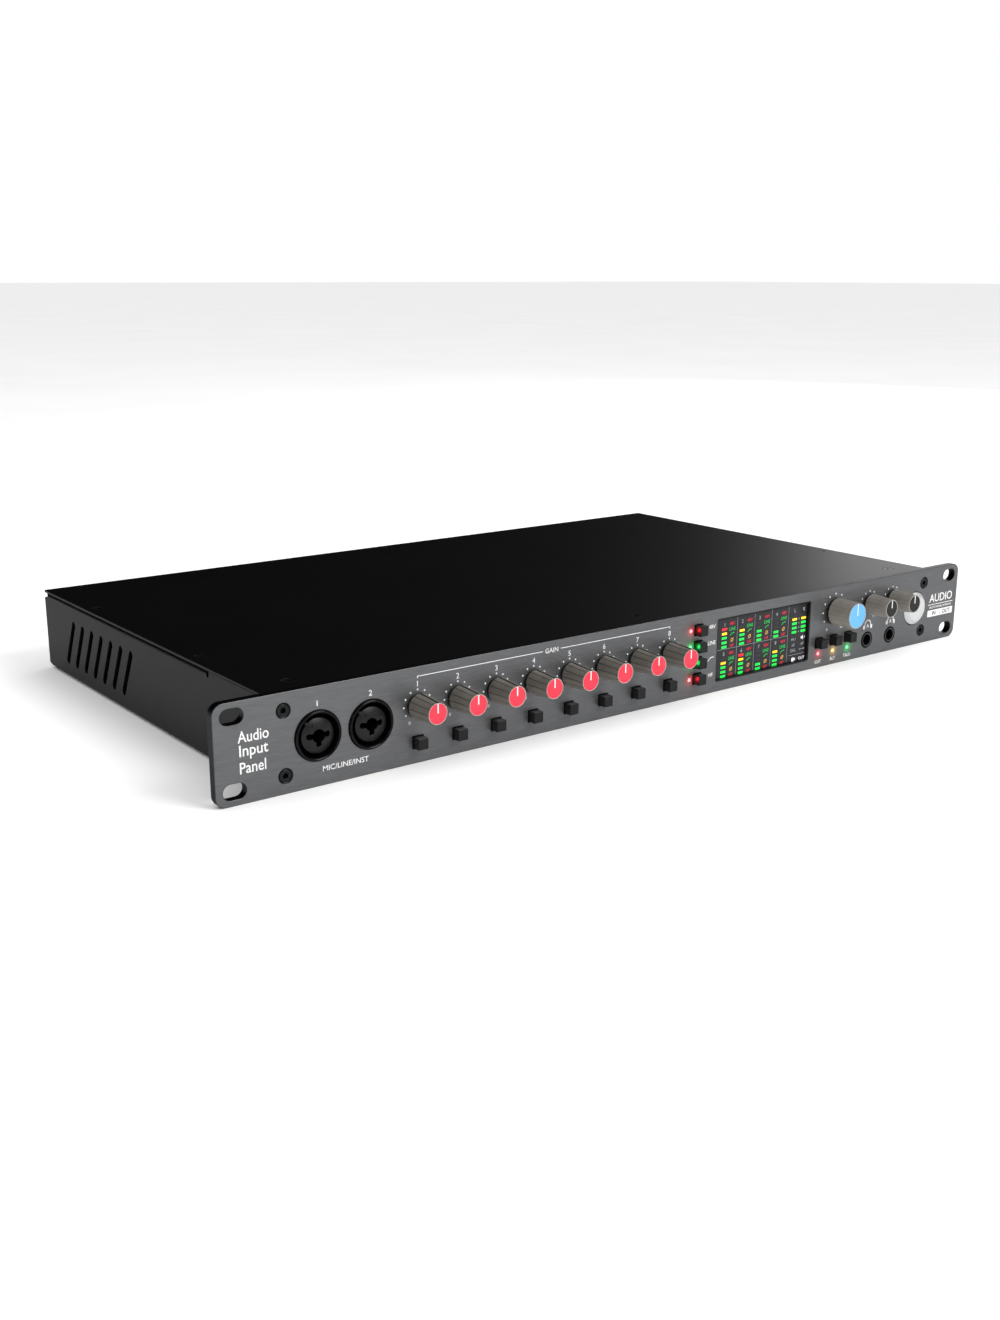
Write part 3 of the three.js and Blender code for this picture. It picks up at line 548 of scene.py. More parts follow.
def letters(bm, text, x, z, height, y=PRINT_Y, mat=0, align="CENTER", turned=False, bold=0.0, squeeze=1.0):
    """Adds flat letters whose capitals have the given height, centred at x and z."""
    curve = bpy.data.curves.new("text", "FONT")
    curve.body = text
    curve.align_x = align
    curve.align_y = "CENTER"
    curve.resolution_u = 3
    curve.size = height / 0.70
    curve.offset = bold
    part = mesh_of_curve("text", curve, 0.0005)
    lows = [v.co.y for v in part.verts]
    centre = (min(lows) + max(lows)) / 2 if lows else 0
    face_rear = Matrix.Rotation(math.pi, 4, "Z") if turned else Matrix.Identity(4)
    upright = Matrix.Rotation(math.pi / 2, 4, "X")
    place = Matrix.Translation((x, y, z)) @ face_rear @ upright
    part.transform(place @ Matrix.Diagonal((squeeze, 1, 1, 1)) @ Matrix.Translation((0, -centre, 0)))
    add_mesh(bm, part, mat=mat)


def patch(bm, outline, y=PRINT_Y, mat=0, turned=False):
    """A flat printed shape of an (x, z) outline that runs anticlockwise as seen from the front."""
    verts = [bm.verts.new((x, y, z)) for x, z in outline]
    face = bm.faces.new(verts)
    face.normal_update()
    if (face.normal.y > 0) != turned:
        face.normal_flip()
    face.material_index = mat


def bar(bm, x0, x1, z0, z1, y=PRINT_Y, mat=0, turned=False):
    patch(bm, [(x0, z0), (x1, z0), (x1, z1), (x0, z1)], y, mat, turned)


def stroke(bm, points, width, y=PRINT_Y, mat=0):
    """A printed line of even width through (x, z) points."""
    line = [Vector(p) for p in points]
    closed = (line[0] - line[-1]).length < 1e-6
    if closed:
        line.pop()
    count = len(line)
    sides = []
    for i, point in enumerate(line):
        before, after = (i - 1, (i + 1) % count) if closed else (max(i - 1, 0), min(i + 1, count - 1))
        ahead = line[after] - line[before]
        across = Vector((-ahead.y, ahead.x)).normalized() * width / 2
        sides.append([bm.verts.new((p.x, y, p.y)) for p in (point + across, point - across)])
    for i in range(count if closed else count - 1):
        (a, b), (c, d) = sides[i], sides[(i + 1) % count]
        face = bm.faces.new((a, b, d, c))
        face.normal_update()
        if face.normal.y > 0:
            face.normal_flip()
        face.material_index = mat


def thickened(bm, depth=0.04):
    """Gives flat printed shapes a depth behind their faces."""
    made = bmesh.ops.extrude_face_region(bm, geom=list(bm.faces), use_keep_orig=True)["geom"]
    moved = [item for item in made if isinstance(item, bmesh.types.BMVert)]
    bmesh.ops.translate(bm, verts=moved, vec=(0, depth, 0))
    bmesh.ops.recalc_face_normals(bm, faces=bm.faces)
    return bm


def arc(x, z, radius, start, end, steps=16):
    """Points along an arc between two angles."""
    return [polar(x, z, radius, math.radians(start + (end - start) * i / steps)) for i in range(steps + 1)]


# ------------------------------------------------------------------------------------ front panel

GAINS = [f"gain_knob_{i}" for i in range(1, 9)]
CHANNELS = [f"channel_button_{i}" for i in range(1, 9)]
FUNCTIONS = ["phantom_button", "line_button", "filter_button", "tone_button"]
MONITORS = ["cut_button", "alternate_button", "talk_button"]
SMALL_KNOBS = GAINS + ["phones_knob_a", "phones_knob_b"]
KNOBS = SMALL_KNOBS + ["monitor_knob"]
BUTTONS = CHANNELS + FUNCTIONS + MONITORS
FRONT_COMBOS = ["combo_jack_1", "combo_jack_2"]
REAR_COMBOS = [f"combo_jack_{i}" for i in range(3, 9)]
PHONES = ["phones_jack_a", "phones_jack_b"]
SCREWS = [f"panel_screw_{i}" for i in range(1, 5)]
CASE = "case"

panel_far = extent("front_panel")[1]
PANEL_HALF = panel_far.x
PANEL_TOP = panel_far.z
PANEL_DEEP = panel_far.y
window_lo, window_hi = extent("display_window")
SCREEN_Y = window_lo.y
RACK_X, RACK_Z = 232.65, 15.875
RACK_SLOT_HALF, RACK_SLOT_RADIUS = 1.85, 3.45
COMBO_HOLE, PHONES_HOLE, POWER_HOLE = 11.15, 4.7, 9.75  # radii
KNOB_HOLE, LIGHT_HOLE, SCREW_HOLE = 3.3, 1.12, 3.35  # radii
BUTTON_HOLE = 5.9  # side of a square
WINDOW_GAP = 0.3  # both sides together
CHAMFER = 0.22
OUTER_CORNER = 5.0
FUNCTION_LED_X = 21.9
MONITOR_LED_Z = -14.1
LED_PLACES = ([(FUNCTION_LED_X, middle(n)[1]) for n in FUNCTIONS]
              + [(middle(n)[0], MONITOR_LED_Z) for n in MONITORS])
POWER_X, POWER_Z = middle("power_button")


def front_panel():
    """Brushed plate with every cut-out; its chamfers and cut sides take toned copies of the metal, painted
    light on the chamfers and painted shade on the sides.
    """
    holes = []
    for sx in (-1, 1):
        for sz in (-1, 1):
            x, z = sx * RACK_X, sz * RACK_Z
            holes.append(stadium((x - RACK_SLOT_HALF, z), (x + RACK_SLOT_HALF, z), RACK_SLOT_RADIUS))
    holes += [circle(*middle(n), COMBO_HOLE, 72) for n in FRONT_COMBOS]
    holes += [circle(*middle(n), KNOB_HOLE, 32) for n in KNOBS]
    holes += [rectangle(*middle(n), BUTTON_HOLE, BUTTON_HOLE, 0.25, 3) for n in BUTTONS]
    holes += [circle(x, z, LIGHT_HOLE, 20) for x, z in LED_PLACES]
    holes += [circle(*middle(n), PHONES_HOLE, 40) for n in PHONES]
    holes += [circle(*middle(n), SCREW_HOLE, 40) for n in SCREWS]
    holes.append(circle(POWER_X, POWER_Z, POWER_HOLE, 72))
    cx, cz = (window_lo.x + window_hi.x) / 2, (window_lo.z + window_hi.z) / 2
    wide, high = window_hi.x - window_lo.x + WINDOW_GAP, window_hi.z - window_lo.z + WINDOW_GAP
    holes.append(rectangle(cx, cz, wide, high, 1.0))
    outline = rectangle(0, 0, 2 * PANEL_HALF, 2 * PANEL_TOP, OUTER_CORNER, 12)
    bm = plate(outline, holes, PANEL_DEEP, CHAMFER)
    # faces sort by lean: front and back take the brushed metal, the chamfers its copy toned as painted light,
    # the cut sides its darker copy as painted shade
    for face in bm.faces:
        face.normal_update()
        lean = abs(face.normal.y)
        face.material_index = 0 if lean > 0.97 else 2 if lean < 0.2 else 1
    piece("front_panel_plate", bm, [PANEL, PANEL_CHAMFER_PAINTED_LIGHT, PANEL_SIDE_PAINTED_SHADE], CASE, "panel_aluminium", ["front_panel"])


def display_bezel():
    """Thin black frame that lines the display's cut-out."""
    cx, cz = (window_lo.x + window_hi.x) / 2, (window_lo.z + window_hi.z) / 2
    wide, high = window_hi.x - window_lo.x, window_hi.z - window_lo.z
    outer = rectangle(cx, cz, wide + 0.1, high + 0.1, 0.95)
    inner = rectangle(cx, cz, wide - 0.9, high - 0.9, 0.6)
    bm = plate(outer, [inner], SCREEN_Y - 0.35, 0.1)
    bm.transform(Matrix.Translation((0, 0.3, 0)))
    piece("display_bezel", bm, [RECESS], CASE, "window_black")


def panel_screws():
    """Countersunk heads with a hexagon socket."""
    for name in SCREWS:
        x, z = middle(name)
        lo, hi = extent(name)
        front = lo.y
        bm = bmesh.new()
        head = [(1.25, front + 1.5), (1.25, front + 0.1), (1.45, front), (2.55, front),
                (2.75, front + 0.15), (2.75, front + 0.5)]
        shank = [(3.2, front + 0.25), (3.2, front + 0.55), (1.5, front + 2.2), (1.5, hi.y), (0, hi.y)]
        for profile in (head, shank):
            spin(bm, profile, x, z, 40)
        spin(bm, [(2.75, front + 0.5), (3.2, front + 0.25)], x, z, 40)
        socket = hexagon(x, z, 1.2)
        walls = [bm.verts.new((a, front + 0.12, b)) for a, b in socket]
        floor = [bm.verts.new((a, front + 1.4, b)) for a, b in socket]
        # the hexagon socket's walls and floor are painted shade
        bridge(bm, walls, floor, 1)
        bm.faces.new(floor).material_index = 1
        closed_piece(f"{name}_head", bm, [SCREW, BORE_PAINTED_SHADE], CASE, "screw_black", [name])


def scale_dots(bm, x, z, radius, size):
    """Nine dots, 30 degrees apart, round a knob."""
    for i in range(-4, 5):
        t = math.radians(90 - 30 * i)
        patch(bm, circle(*polar(x, z, radius, t), size, 12))


def headphones(bm, x, z, letter):
    """Pictogram of headphones with a letter between the cups."""
    stroke(bm, arc(x, z - 0.4, 2.45, 0, 180), 0.62)
    for side in (-1, 1):
        stroke(bm, [(x + side * 2.45, z - 0.4), (x + side * 2.7, z - 2.9)], 0.6)
        stroke(bm, [(x + side * 3.2, z - 0.7), (x + side * 3.45, z - 1.8), (x + side * 3.1, z - 2.9)], 1.1)
    letters(bm, letter, x, z - 1.2, 1.9, bold=0.05)


def panel_print():
    """White legends of the front panel, from the left ear to the right."""
    bm = bmesh.new()
    for number, name in enumerate(FRONT_COMBOS, 1):
        letters(bm, str(number), middle(name)[0], 14.4, 2.5, bold=0.03)
    combo_x = sum(middle(n)[0] for n in FRONT_COMBOS) / 2
    letters(bm, "MIC/LINE/INST", combo_x, -14.6, 2.35, bold=0.02, squeeze=1.06)
    for row, (word, squeeze) in enumerate((("Audio", 0.84), ("Input", 0.94), ("Panel", 0.86))):
        letters(bm, word, -230.4, 6.6 - 6.6 * row, 4.8, align="LEFT", bold=0.06, squeeze=squeeze)
    for number, name in enumerate(GAINS, 1):
        x, z = middle(name)
        scale_dots(bm, x, z, 7.3, 0.44)
        letters(bm, str(number), x, 14.3, 2.5, bold=0.02)
    first, last = middle(GAINS[0])[0], middle(GAINS[-1])[0]
    gap = (first + last) / 2
    for start, end in ((first, gap - 5.5), (gap + 5.5, last)):
        bar(bm, start - 0.17, end + 0.17, 17.45, 17.79)
    for x in (first, last):
        bar(bm, x - 0.17, x + 0.17, 16.7, 17.45)
    letters(bm, "GAIN", gap, 17.55, 2.3, bold=0.02)
    for name in KNOBS:
        x, z = middle(name)
        reach = 8.4 if name != "monitor_knob" else 11.2
        for side, number in ((-1, "0"), (1, "10")):
            t = math.radians(30)
            number_x, number_z = x + side * reach * math.sin(t) * 1.05, z - reach * math.cos(t)
            letters(bm, number, number_x, number_z, 1.45, bold=0.02)
    monitor_x, monitor_z = middle("monitor_knob")
    scale_dots(bm, monitor_x, monitor_z, 9.7, 0.48)
    for name in SMALL_KNOBS[-2:]:
        scale_dots(bm, *middle(name), 7.3, 0.44)
    for name, word in zip(FUNCTIONS, ("48V", "LINE", None, "HF")):
        x, z = middle(name)
        if word:
            letters(bm, word, x + 9.6, z + 0.3, 2.0, bold=0.02)
        else:
            curve = ((7.4, -0.8), (8.3, 0.3), (9.4, 1.0), (11.6, 1.15))
            stroke(bm, [(x + a, z + b) for a, b in curve], 0.42)
    for name, word in zip(MONITORS, ("CUT", "ALT", "TALK")):
        letters(bm, word, middle(name)[0], -18.6, 1.8, bold=0.02)
    for name, letter in zip(PHONES, "AB"):
        headphones(bm, middle(name)[0], -3.2, letter)
    left, right = 214.9, 238.2
    letters(bm, "AUDIO", (left + right) / 2, 3.7, 4.8, bold=0.05, squeeze=0.98)
    bar(bm, left, right, -0.3, 0.05)
    letters(bm, "MULTICHANNEL INTERFACE", (left + right) / 2, -1.75, 1.15, bold=0.015, squeeze=0.97)
    pill = rectangle((left + right) / 2, -5.4, right - left, 3.9, 0.4, 4)
    patch(bm, pill)
    letters(bm, "IN", left + 6.0, -5.4, 2.4, y=PRINT_Y - 0.02, mat=1, bold=0.07)
    bar(bm, 226.4, 226.7, -7.0, -3.8, y=PRINT_Y - 0.02, mat=1)
    letters(bm, "OUT", right - 6.0, -5.4, 2.4, y=PRINT_Y - 0.02, mat=1, bold=0.07)
    piece("panel_print", thickened(bm), [PRINT, INK_DARK], CASE, "panel_aluminium")


# ------------------------------------------------------------------------------------ controls


def knob_body(name, cap, ribs=12, groove=True):
    """Tapered knob with shallow axial grooves and a pointer groove along the top, the grooves darkened as
    painted shade, and a rim round its cap in a pale tone that is a painted highlight.
    """
    x, z = middle(name)
    lo, hi = extent(name)
    front, base = lo.y, -1.9
    tip, wide = ((5.05, 5.98) if name != "monitor_knob" else (7.05, 7.68))
    collar = wide - 0.3
    bm = bmesh.new()
    levels = [(front, -0.26), (front + 0.04, -0.12), (front + 0.14, -0.03), (front + 0.32, 0.0),
              (front + 4.5, 0), (front + 9, 0), (base - 0.4, 0), (base - 0.1, -0.06), (base, -0.2)]
    angles = []
    spacing = 360 / ribs
    for i in range(ribs):
        middle_angle = 90 + spacing * i
        wide_groove = groove and i == 0
        half = 4.6 if wide_groove else 1.5
        deep = 0.42 if wide_groove else 0.14
        angles += [(middle_angle - half - 0.6, 0, 0), (middle_angle - half + 0.4, deep, wide_groove),
                   (middle_angle + half - 0.4, deep, 0), (middle_angle + half + 0.6, 0, 0)]
        between = [middle_angle + half + 0.6 + (spacing - 2 * half - 1.2) * k / 5 for k in range(1, 5)]
        angles += [(a, 0, 0) for a in between]
    rings = []
    for y, inset in levels:
        share = (y - front) / (base - front)
        radius = tip + (wide - tip) * share + inset
        ring = []
        for angle, deep, _ in angles:
            fade = min(1.0, max(0.0, (y - front - 0.1) / 0.5)) * (1 if y < base - 0.2 else 0.4)
            if groove and deep > 0.3:
                fade = 1.0 if y < base - 0.2 else 0.4
            r = radius - deep * fade
            t = math.radians(angle)
            ring.append(bm.verts.new((x + r * math.cos(t), y, z + r * math.sin(t))))
        rings.append(ring)
    count = len(angles)
    for ring, following in zip(rings, rings[1:]):
        for i in range(count):
            j = (i + 1) % count
            face = bm.faces.new((ring[i], ring[j], following[j], following[i]))
            # the pointer groove and the floors of the fine grooves take the near-black tone: painted shade
            pointer = max(angles[i][1], angles[j][1]) > 0.3
            fine_groove_shade = groove and min(angles[i][1], angles[j][1]) > 0
            face.material_index = 2 if pointer or fine_groove_shade else 0
    rim_in = tip - 0.4
    lip = []
    for angle, _, _ in angles:
        lip_x, lip_z = polar(x, z, rim_in, math.radians(angle))
        lip.append(bm.verts.new((lip_x, front + 0.02, lip_z)))
    # the rim round the cap takes the pale tone, a painted highlight
    bridge(bm, lip, rings[0], 1)
    spin(bm, [(rim_in, front + 0.02), (rim_in, front + 0.6), (0, front + 0.6)], x, z, 64, [1, 0])
    skirt = [(wide - 0.6, base), (collar, base), (collar, -0.4), (3.0, -0.4), (3.0, hi.y), (0, hi.y)]
    spin(bm, rounded(skirt, 0.15), x, z, 64)
    for face in bm.faces:
        if face.calc_center_median().y > base - 0.01:
            face.material_index = 3
    # monitor and phones knobs take the lighter copy of the knob grey, which is painted light
    shell = KNOB if groove else KNOB_PAINTED_LIGHTER
    body = f"{name}_body"
    piece(f"{name}_body_shell", bm, [shell, KNOB_RIM_PAINTED_HIGHLIGHT, KNOB_GROOVE_PAINTED_SHADE, COLLAR], body, "knob_grey", [name])

    disc = bmesh.new()
    edge = rim_in - 0.04
    dome = [(0, front + 0.02), (edge * 0.5, front + 0.03), (edge * 0.85, front + 0.05),
            (edge - 0.12, front + 0.08), (edge, front + 0.16), (edge, front + 0.55), (0, front + 0.55)]
    spin(disc, dome, x, z, 64)
    end = tip - 0.3
    block(disc, (x - 0.33, front - 0.03, z + 0.3), (x + 0.33, front + 0.15, z + end), 0.03, 1, 1)
    piece(f"{name}_cap", disc, [cap, POINTER], body, "knob_grey")


def knobs():
    for name in GAINS:
        knob_body(name, CAP_RED)
    knob_body("monitor_knob", CAP_BLUE, 20, False)
    for name in ("phones_knob_a", "phones_knob_b"):
        knob_body(name, CAP_BLACK, 16, False)


def push_button(name):
    """Square cap with rounded edges and a shallow dished face, on its flange and stem."""
    x, z = middle(name)
    lo, hi = extent(name)
    front = lo.y
    bm = bmesh.new()
    half = 2.58
    sections = [(4.1, 0.0, 0.3), (front + 0.3, 0.0, 0.3), (front + 0.1, 0.06, 0.3), (front + 0.02, 0.18, 0.3),
                (front, 0.34, 0.3)]
    rings = []
    for y, inset, radius in sections:
        side = 2 * (half - inset)
        rings.append([bm.verts.new((a, y, b)) for a, b in rectangle(x, z, side, side, radius, 4)])
    for ring, following in zip(rings, rings[1:]):
        bridge(bm, ring, following)
    last = rings[-1]
    dish = [bm.verts.new((x + (v.co.x - x) * 0.8, front + 0.06, z + (v.co.z - z) * 0.8)) for v in last]
    bridge(bm, last, dish)
    bm.faces.new(dish)
    block(bm, (x - 3.25, 4.25, z - 3.25), (x + 3.25, 5.05, z + 3.25), 0.15)
    block(bm, (x - 1.5, 5.0, z - 1.5), (x + 1.5, hi.y, z + 1.5), 0.15)
    closed_piece(f"{name}_cap", bm, [BUTTON], f"{name}_body", "button_black", [name])


def power_button():
    """Round satin button with a hollow face and a wide sloping rim."""
    lo, hi = extent("power_button")
    front = lo.y
    bm = bmesh.new()
    face = ((0, 0.62), (2.2, 0.56), (4.2, 0.4), (5.8, 0.12), (6.4, 0.02), (6.9, 0), (7.15, 0.1), (8.6, 1.15),
            (9.2, 1.6), (9.38, 1.85))
    dish = [(radius, front + depth) for radius, depth in face]
    dish += [(9.38, 4.2), (10.15, 4.25), (10.15, 5.05), (3, 5.1), (3, hi.y), (0, hi.y)]
    spin(bm, dish, POWER_X, POWER_Z, 96)
    piece("power_button_face", bm, [SILVER], "power_button_body", "button_silver", ["power_button"])


def light_guides():
    """Strips of clear rods with domed ends, which glow where they come through the panel."""
    glow = [LED_RED, LED_GREEN, LED_GREEN, LED_RED, LED_RED, LED_AMBER, LED_GREEN]
    for guide, places, tones in (("function_light_guide", LED_PLACES[:4], glow[:4]),
                                 ("monitor_light_guide", LED_PLACES[4:], glow[4:])):
        lo, hi = extent(guide)
        bm = bmesh.new()
        block(bm, (lo.x, 6.6, lo.z), hi, 0.2)
        for x, z in places:
            spin(bm, [(1.0, 0.3), (1.0, 6.8)], x, z, 24)
        closed_piece(f"{guide}_strip", bm, [GUIDE], CASE, "light_guide", [guide])
        for index, ((x, z), tone) in enumerate(zip(places, tones), 1):
            lens = bmesh.new()
            dome = [(0, -0.4), (0.38, -0.36), (0.72, -0.22), (0.94, -0.02), (1.04, 0.3), (0, 0.32)]
            spin(lens, dome, x, z, 32)
            piece(f"{guide}_lens_{index}", lens, [tone], CASE, "light_guide")


# ------------------------------------------------------------------------------------ front sockets

TURNS = 96
PINS = ((2, 4.3, 1.35), (178, 4.3, 1.35), (270, 3.7, 1.25))  # angle, reach and radius of each pin's hole


def clover(radius):
    """Radii, all the way round, of a round hole that runs into its pins' holes."""
    out = []
    for i in range(TURNS):
        t = 2 * math.pi * i / TURNS
        far = radius
        for angle, reach, pin_radius in PINS:
            off = t - math.radians(angle)
            side = reach * math.sin(off)
            if abs(side) < pin_radius and math.cos(off) > 0:
                far = max(far, reach * math.cos(off) + math.sqrt(pin_radius ** 2 - side ** 2))
        out.append(far)
    return out


def blend_rings(bm, levels, mats):
    """Skins between rings, each given as a list of radii all the way round and their depths."""
    rings = []
    for radii, depths in levels:
        ring = []
        for i in range(TURNS):
            t = 2 * math.pi * i / TURNS
            ring.append(bm.verts.new((radii[i] * math.cos(t), depths[i], radii[i] * math.sin(t))))
        rings.append(ring)
    for ring, following, mat in zip(rings, rings[1:], mats):
        bridge(bm, ring, following, mat)


def combo_shape():
    """Combination jack facing -y at the origin: gloss ring, groove, and crowned insert with merged holes."""
    bm = bmesh.new()
    insert, mouth, crown = 7.8, clover(2.95), 1.7
    ring = [(9.75, 8.8), (9.75, 0.2), (9.62, -0.3), (9.85, -0.88), (10.15, -1.12), (10.5, -1.18),
            (10.8, -1.02), (10.95, -0.7), (10.97, 0.0), (10.97, 8.0), (12.3, 8.0), (12.3, 25.8), (0, 25.8)]
    spin(bm, rounded(ring, 0.12, 2), 0, 0, TURNS)
    # the groove's floor, here, and the holes' walls and floors below are painted shade
    spin(bm, [(insert, 8.8), (9.75, 8.8)], 0, 0, TURNS, [2])
    spin(bm, [(insert, 8.8), (insert, 0.3)], 0, 0, TURNS, [0])

    def crowned(radii):
        return [-0.95 + crown * (r / insert) ** 2 for r in radii]

    edge = [insert - 0.15] * TURNS
    levels = [([insert] * TURNS, [0.3] * TURNS), (edge, crowned(edge))]
    for share in (0.15, 0.35, 0.55, 0.75, 0.95, 1.0):
        radii = [a + (b - a) * share for a, b in zip(edge, mouth)]
        levels.append((radii, crowned(radii)))
    levels[-1] = (mouth, [depth + 0.15 for depth in crowned(mouth)])
    levels.append((mouth, [9.0] * TURNS))
    levels.append(([2.9] * TURNS, [9.0] * TURNS))
    levels.append(([2.9] * TURNS, [21.0] * TURNS))
    blend_rings(bm, levels, [1] * 7 + [2, 2, 2])
    spin(bm, [(2.9, 21.0), (0, 21.0)], 0, 0, TURNS, [2])
    key = bmesh.new()
    block(key, (-0.55, -0.1, 7.3), (0.55, 1.6, 8.7), 0.12)
    add_mesh(bm, key, Matrix.Rotation(math.radians(-42), 4, "Y"), 1)
    legend = bmesh.new()
    block(legend, (-2.7, -0.62, 4.3), (2.7, 0.1, 5.2), 0.08)
    add_mesh(bm, legend, mat=1)
    bmesh.ops.recalc_face_normals(bm, faces=bm.faces)
    return bm


def combo_jacks():
    """Two at the front, and six at the rear facing the other way."""
    for names, turned in ((FRONT_COMBOS, False), (REAR_COMBOS, True)):
        for name in names:
            x, z = middle(name)
            lo, hi = extent(name)
            bm = combo_shape()
            if turned:
                place = Matrix.Translation((x, hi.y - 1.2, z)) @ Matrix.Rotation(math.pi, 4, "Z")
            else:
                place = Matrix.Translation((x, lo.y + 1.2, z))
            bm.transform(place)
            piece(f"{name}_socket", bm, [SOCKET, INSERT, BORE_PAINTED_SHADE], CASE, "socket_black", [name])


def jack_nose(bm, x, z, face, towards):
    """Bush and bore of a quarter-inch jack whose mouth faces towards -1 or +1 along y."""
    def at(depth):
        return face + depth * towards

    profile = [(3.2, at(-20)), (3.2, at(-0.25)), (3.45, at(0.08)), (3.75, at(0.12)), (3.8, at(-0.12)),
               (4.1, at(-0.15)), (4.2, at(0.1)), (4.45, at(0.06)), (4.55, at(-0.1)), (4.55, at(-8))]
    # the bore and its floor are painted shade
    spin(bm, profile, x, z, 48, [2, 4, 4, 4, 0, 0, 0, 0, 0])
    spin(bm, [(0, at(-20)), (3.2, at(-20))], x, z, 48, [2])
    near, far = sorted((at(-9), at(-6)))
    block(bm, (x - 0.5, near, z - 3.3), (x + 0.5, far, z - 2.3), 0.1, 3)


def phones_jacks():
    """Quarter-inch jacks for headphones, each with its body behind the panel."""
    for name in PHONES:
        x, z = middle(name)
        lo, hi = extent(name)
        bm = bmesh.new()
        jack_nose(bm, x, z, lo.y + 0.15, -1)
        block(bm, (x - 6.4, 6.0, z - 6.4), (x + 6.4, hi.y, z + 6.4), 0.5)
        tones = [SOCKET, INSERT, BORE_PAINTED_SHADE, CONTACT, RING]
        closed_piece(f"{name}_socket", bm, tones, CASE, "socket_black", [name])


# ------------------------------------------------------------------------------------ display

CHANNEL_PITCH = 13.03
SEGMENTS = [10.6, 8.2, 5.9, 3.45, 1.1]
LOWER_ROW = -15.65
LIT = {1: 5, 2: 4, 3: 3, 4: 2, 5: 4, 6: 5, 7: 2, 8: 4}  # segments of each channel's meter that are lit
SEGMENT = (3.6, 1.25, 0.08, 2)  # width, height, corner radius and steps of a corner
FIRST_METER = 6.85  # from the window's left edge
LEGEND_SHIFT = -0.75
OUTPUT_METERS = ((101.2, "L"), (108.3, "R"))


def display():
    """Cover glass with its dark border, and the lit graphics on it: eight channels and the output meters."""
    bm = bmesh.new()
    block(bm, window_lo, window_hi, 0.12)
    for x0, x1, z0, z1 in ((0.15, 1.0, 0.15, -0.15), (-0.8, -0.15, 0.15, -0.15), (0.15, -0.15, -0.9, -0.15),
                           (0.15, -0.15, 0.15, 0.7)):
        edges = [(window_hi if value < 0 else window_lo)[axis] + value
                 for axis, value in ((0, x0), (0, x1), (2, z0), (2, z1))]
        block(bm, (edges[0], SCREEN_Y - 0.02, edges[2]), (edges[1], SCREEN_Y + 0.1, edges[3]), 0, 1)
    piece("display_glass", bm, [SCREEN, RECESS], CASE, "window_black", ["display_window"])

    tones = [LIT_RED, LIT_YELLOW, LIT_GREEN, LIT_ORANGE, LIT_WHITE, DIM_RED, DIM_GREEN, DIM_WHITE, UNLIT]
    red, yellow, green, orange, white, dim_red, dim_green, grey, off = range(9)
    y = SCREEN_Y - 0.04
    left, fall = window_lo.x + FIRST_METER, LEGEND_SHIFT
    bm = bmesh.new()
    for channel in range(1, 9):
        column, row = (channel - 1) % 4, (channel - 1) // 4
        drop = fall + LOWER_ROW * row
        x = left + CHANNEL_PITCH * column
        letters(bm, str(channel), x + 0.1, 13.1 + drop, 1.9, y, grey, bold=0.03)
        for index, z in enumerate(SEGMENTS):
            level = len(SEGMENTS) - index
            tone = (red, yellow, green, green, green)[index] if level <= LIT[channel] else off
            patch(bm, rectangle(x, z + drop, *SEGMENT), y, tone)
        icon = x + 5.75
        letters(bm, "48V", icon, 13.1 + drop, 1.7, y, dim_red, bold=0.01)
        letters(bm, "LINE", icon, 10.2 + drop, 1.8, y, dim_green, bold=0.02, squeeze=0.9)
        curve = ((-1.4, 6.7), (-0.8, 7.5), (0.1, 7.95), (1.5, 8.05))
        stroke(bm, [(icon + a, b + drop) for a, b in curve], 0.42, y, dim_green)
        stroke(bm, arc(icon, 4.3 + drop, 0.85, 0, 360, 20), 0.28, y, orange)
        stroke(bm, [(icon - 1.0, 3.2 + drop), (icon + 1.0, 5.4 + drop)], 0.24, y - 0.01, orange)
        letters(bm, "HF", icon, 1.4 + drop, 1.7, y, dim_red, bold=0.01)
    for column in range(4):
        x = left + 9.4 + CHANNEL_PITCH * column
        bar(bm, x - 0.08, x + 0.08, window_lo.z + 1.0, window_hi.z - 1.0, y, grey)
    bar(bm, window_lo.x + 1.2, left + 9.4 + CHANNEL_PITCH * 3, -0.88, -0.72, y, grey)
    for x, word in OUTPUT_METERS:
        letters(bm, word, x, 13.1 + fall, 1.9, y, grey, bold=0.03)
        for z, tone in zip(SEGMENTS[1:], (yellow, green, green, green)):
            patch(bm, rectangle(x, z + fall, *SEGMENT), y, tone)
    for z in SEGMENTS[1:]:
        patch(bm, circle(104.75, z + fall, 0.35, 12), y, grey)
    for x, z, word in ((101.1, -2.8, "44.1"), (101.1, -5.9, "x2"), (108.2, -5.9, "x4"), (101.1, -9.0, "DIG"),
                       (108.2, -14.1, "OUT")):
        letters(bm, word, x, z + fall, 1.6, y, white if word == "OUT" else grey, bold=0.01)
    bar(bm, 97.6, window_hi.x - 1.3, -12.3, -12.14, y, grey)
    stroke(bm, [(106.4, fall - 9.0), (109.6, fall - 9.0)], 0.24, y, grey)
    patch(bm, circle(106.5, fall - 9.0, 0.42, 12), y, grey)
    patch(bm, [(109.3, fall - 9.5), (110.3, fall - 9.0), (109.3, fall - 8.5)], y, grey)
    speaker = [(0, -0.5), (0.7, -0.5), (1.6, -1.3), (1.6, 1.3), (0.7, 0.5), (0, 0.5)]
    patch(bm, [(106.9 + a, fall - 2.6 + b) for a, b in speaker], y, white)
    stroke(bm, arc(108.9, fall - 2.6, 0.9, -45, 45, 6), 0.25, y, white)
    patch(bm, rectangle(101.3, fall - 14.1, 1.9, 2.0, 0.2, 2), y, white)
    patch(bm, [(102.4, fall - 14.1), (103.2, fall - 15.0), (103.2, fall - 13.2)], y, white)
    piece("display_graphics", thickened(bm, 0.03), tones, CASE, "window_black")


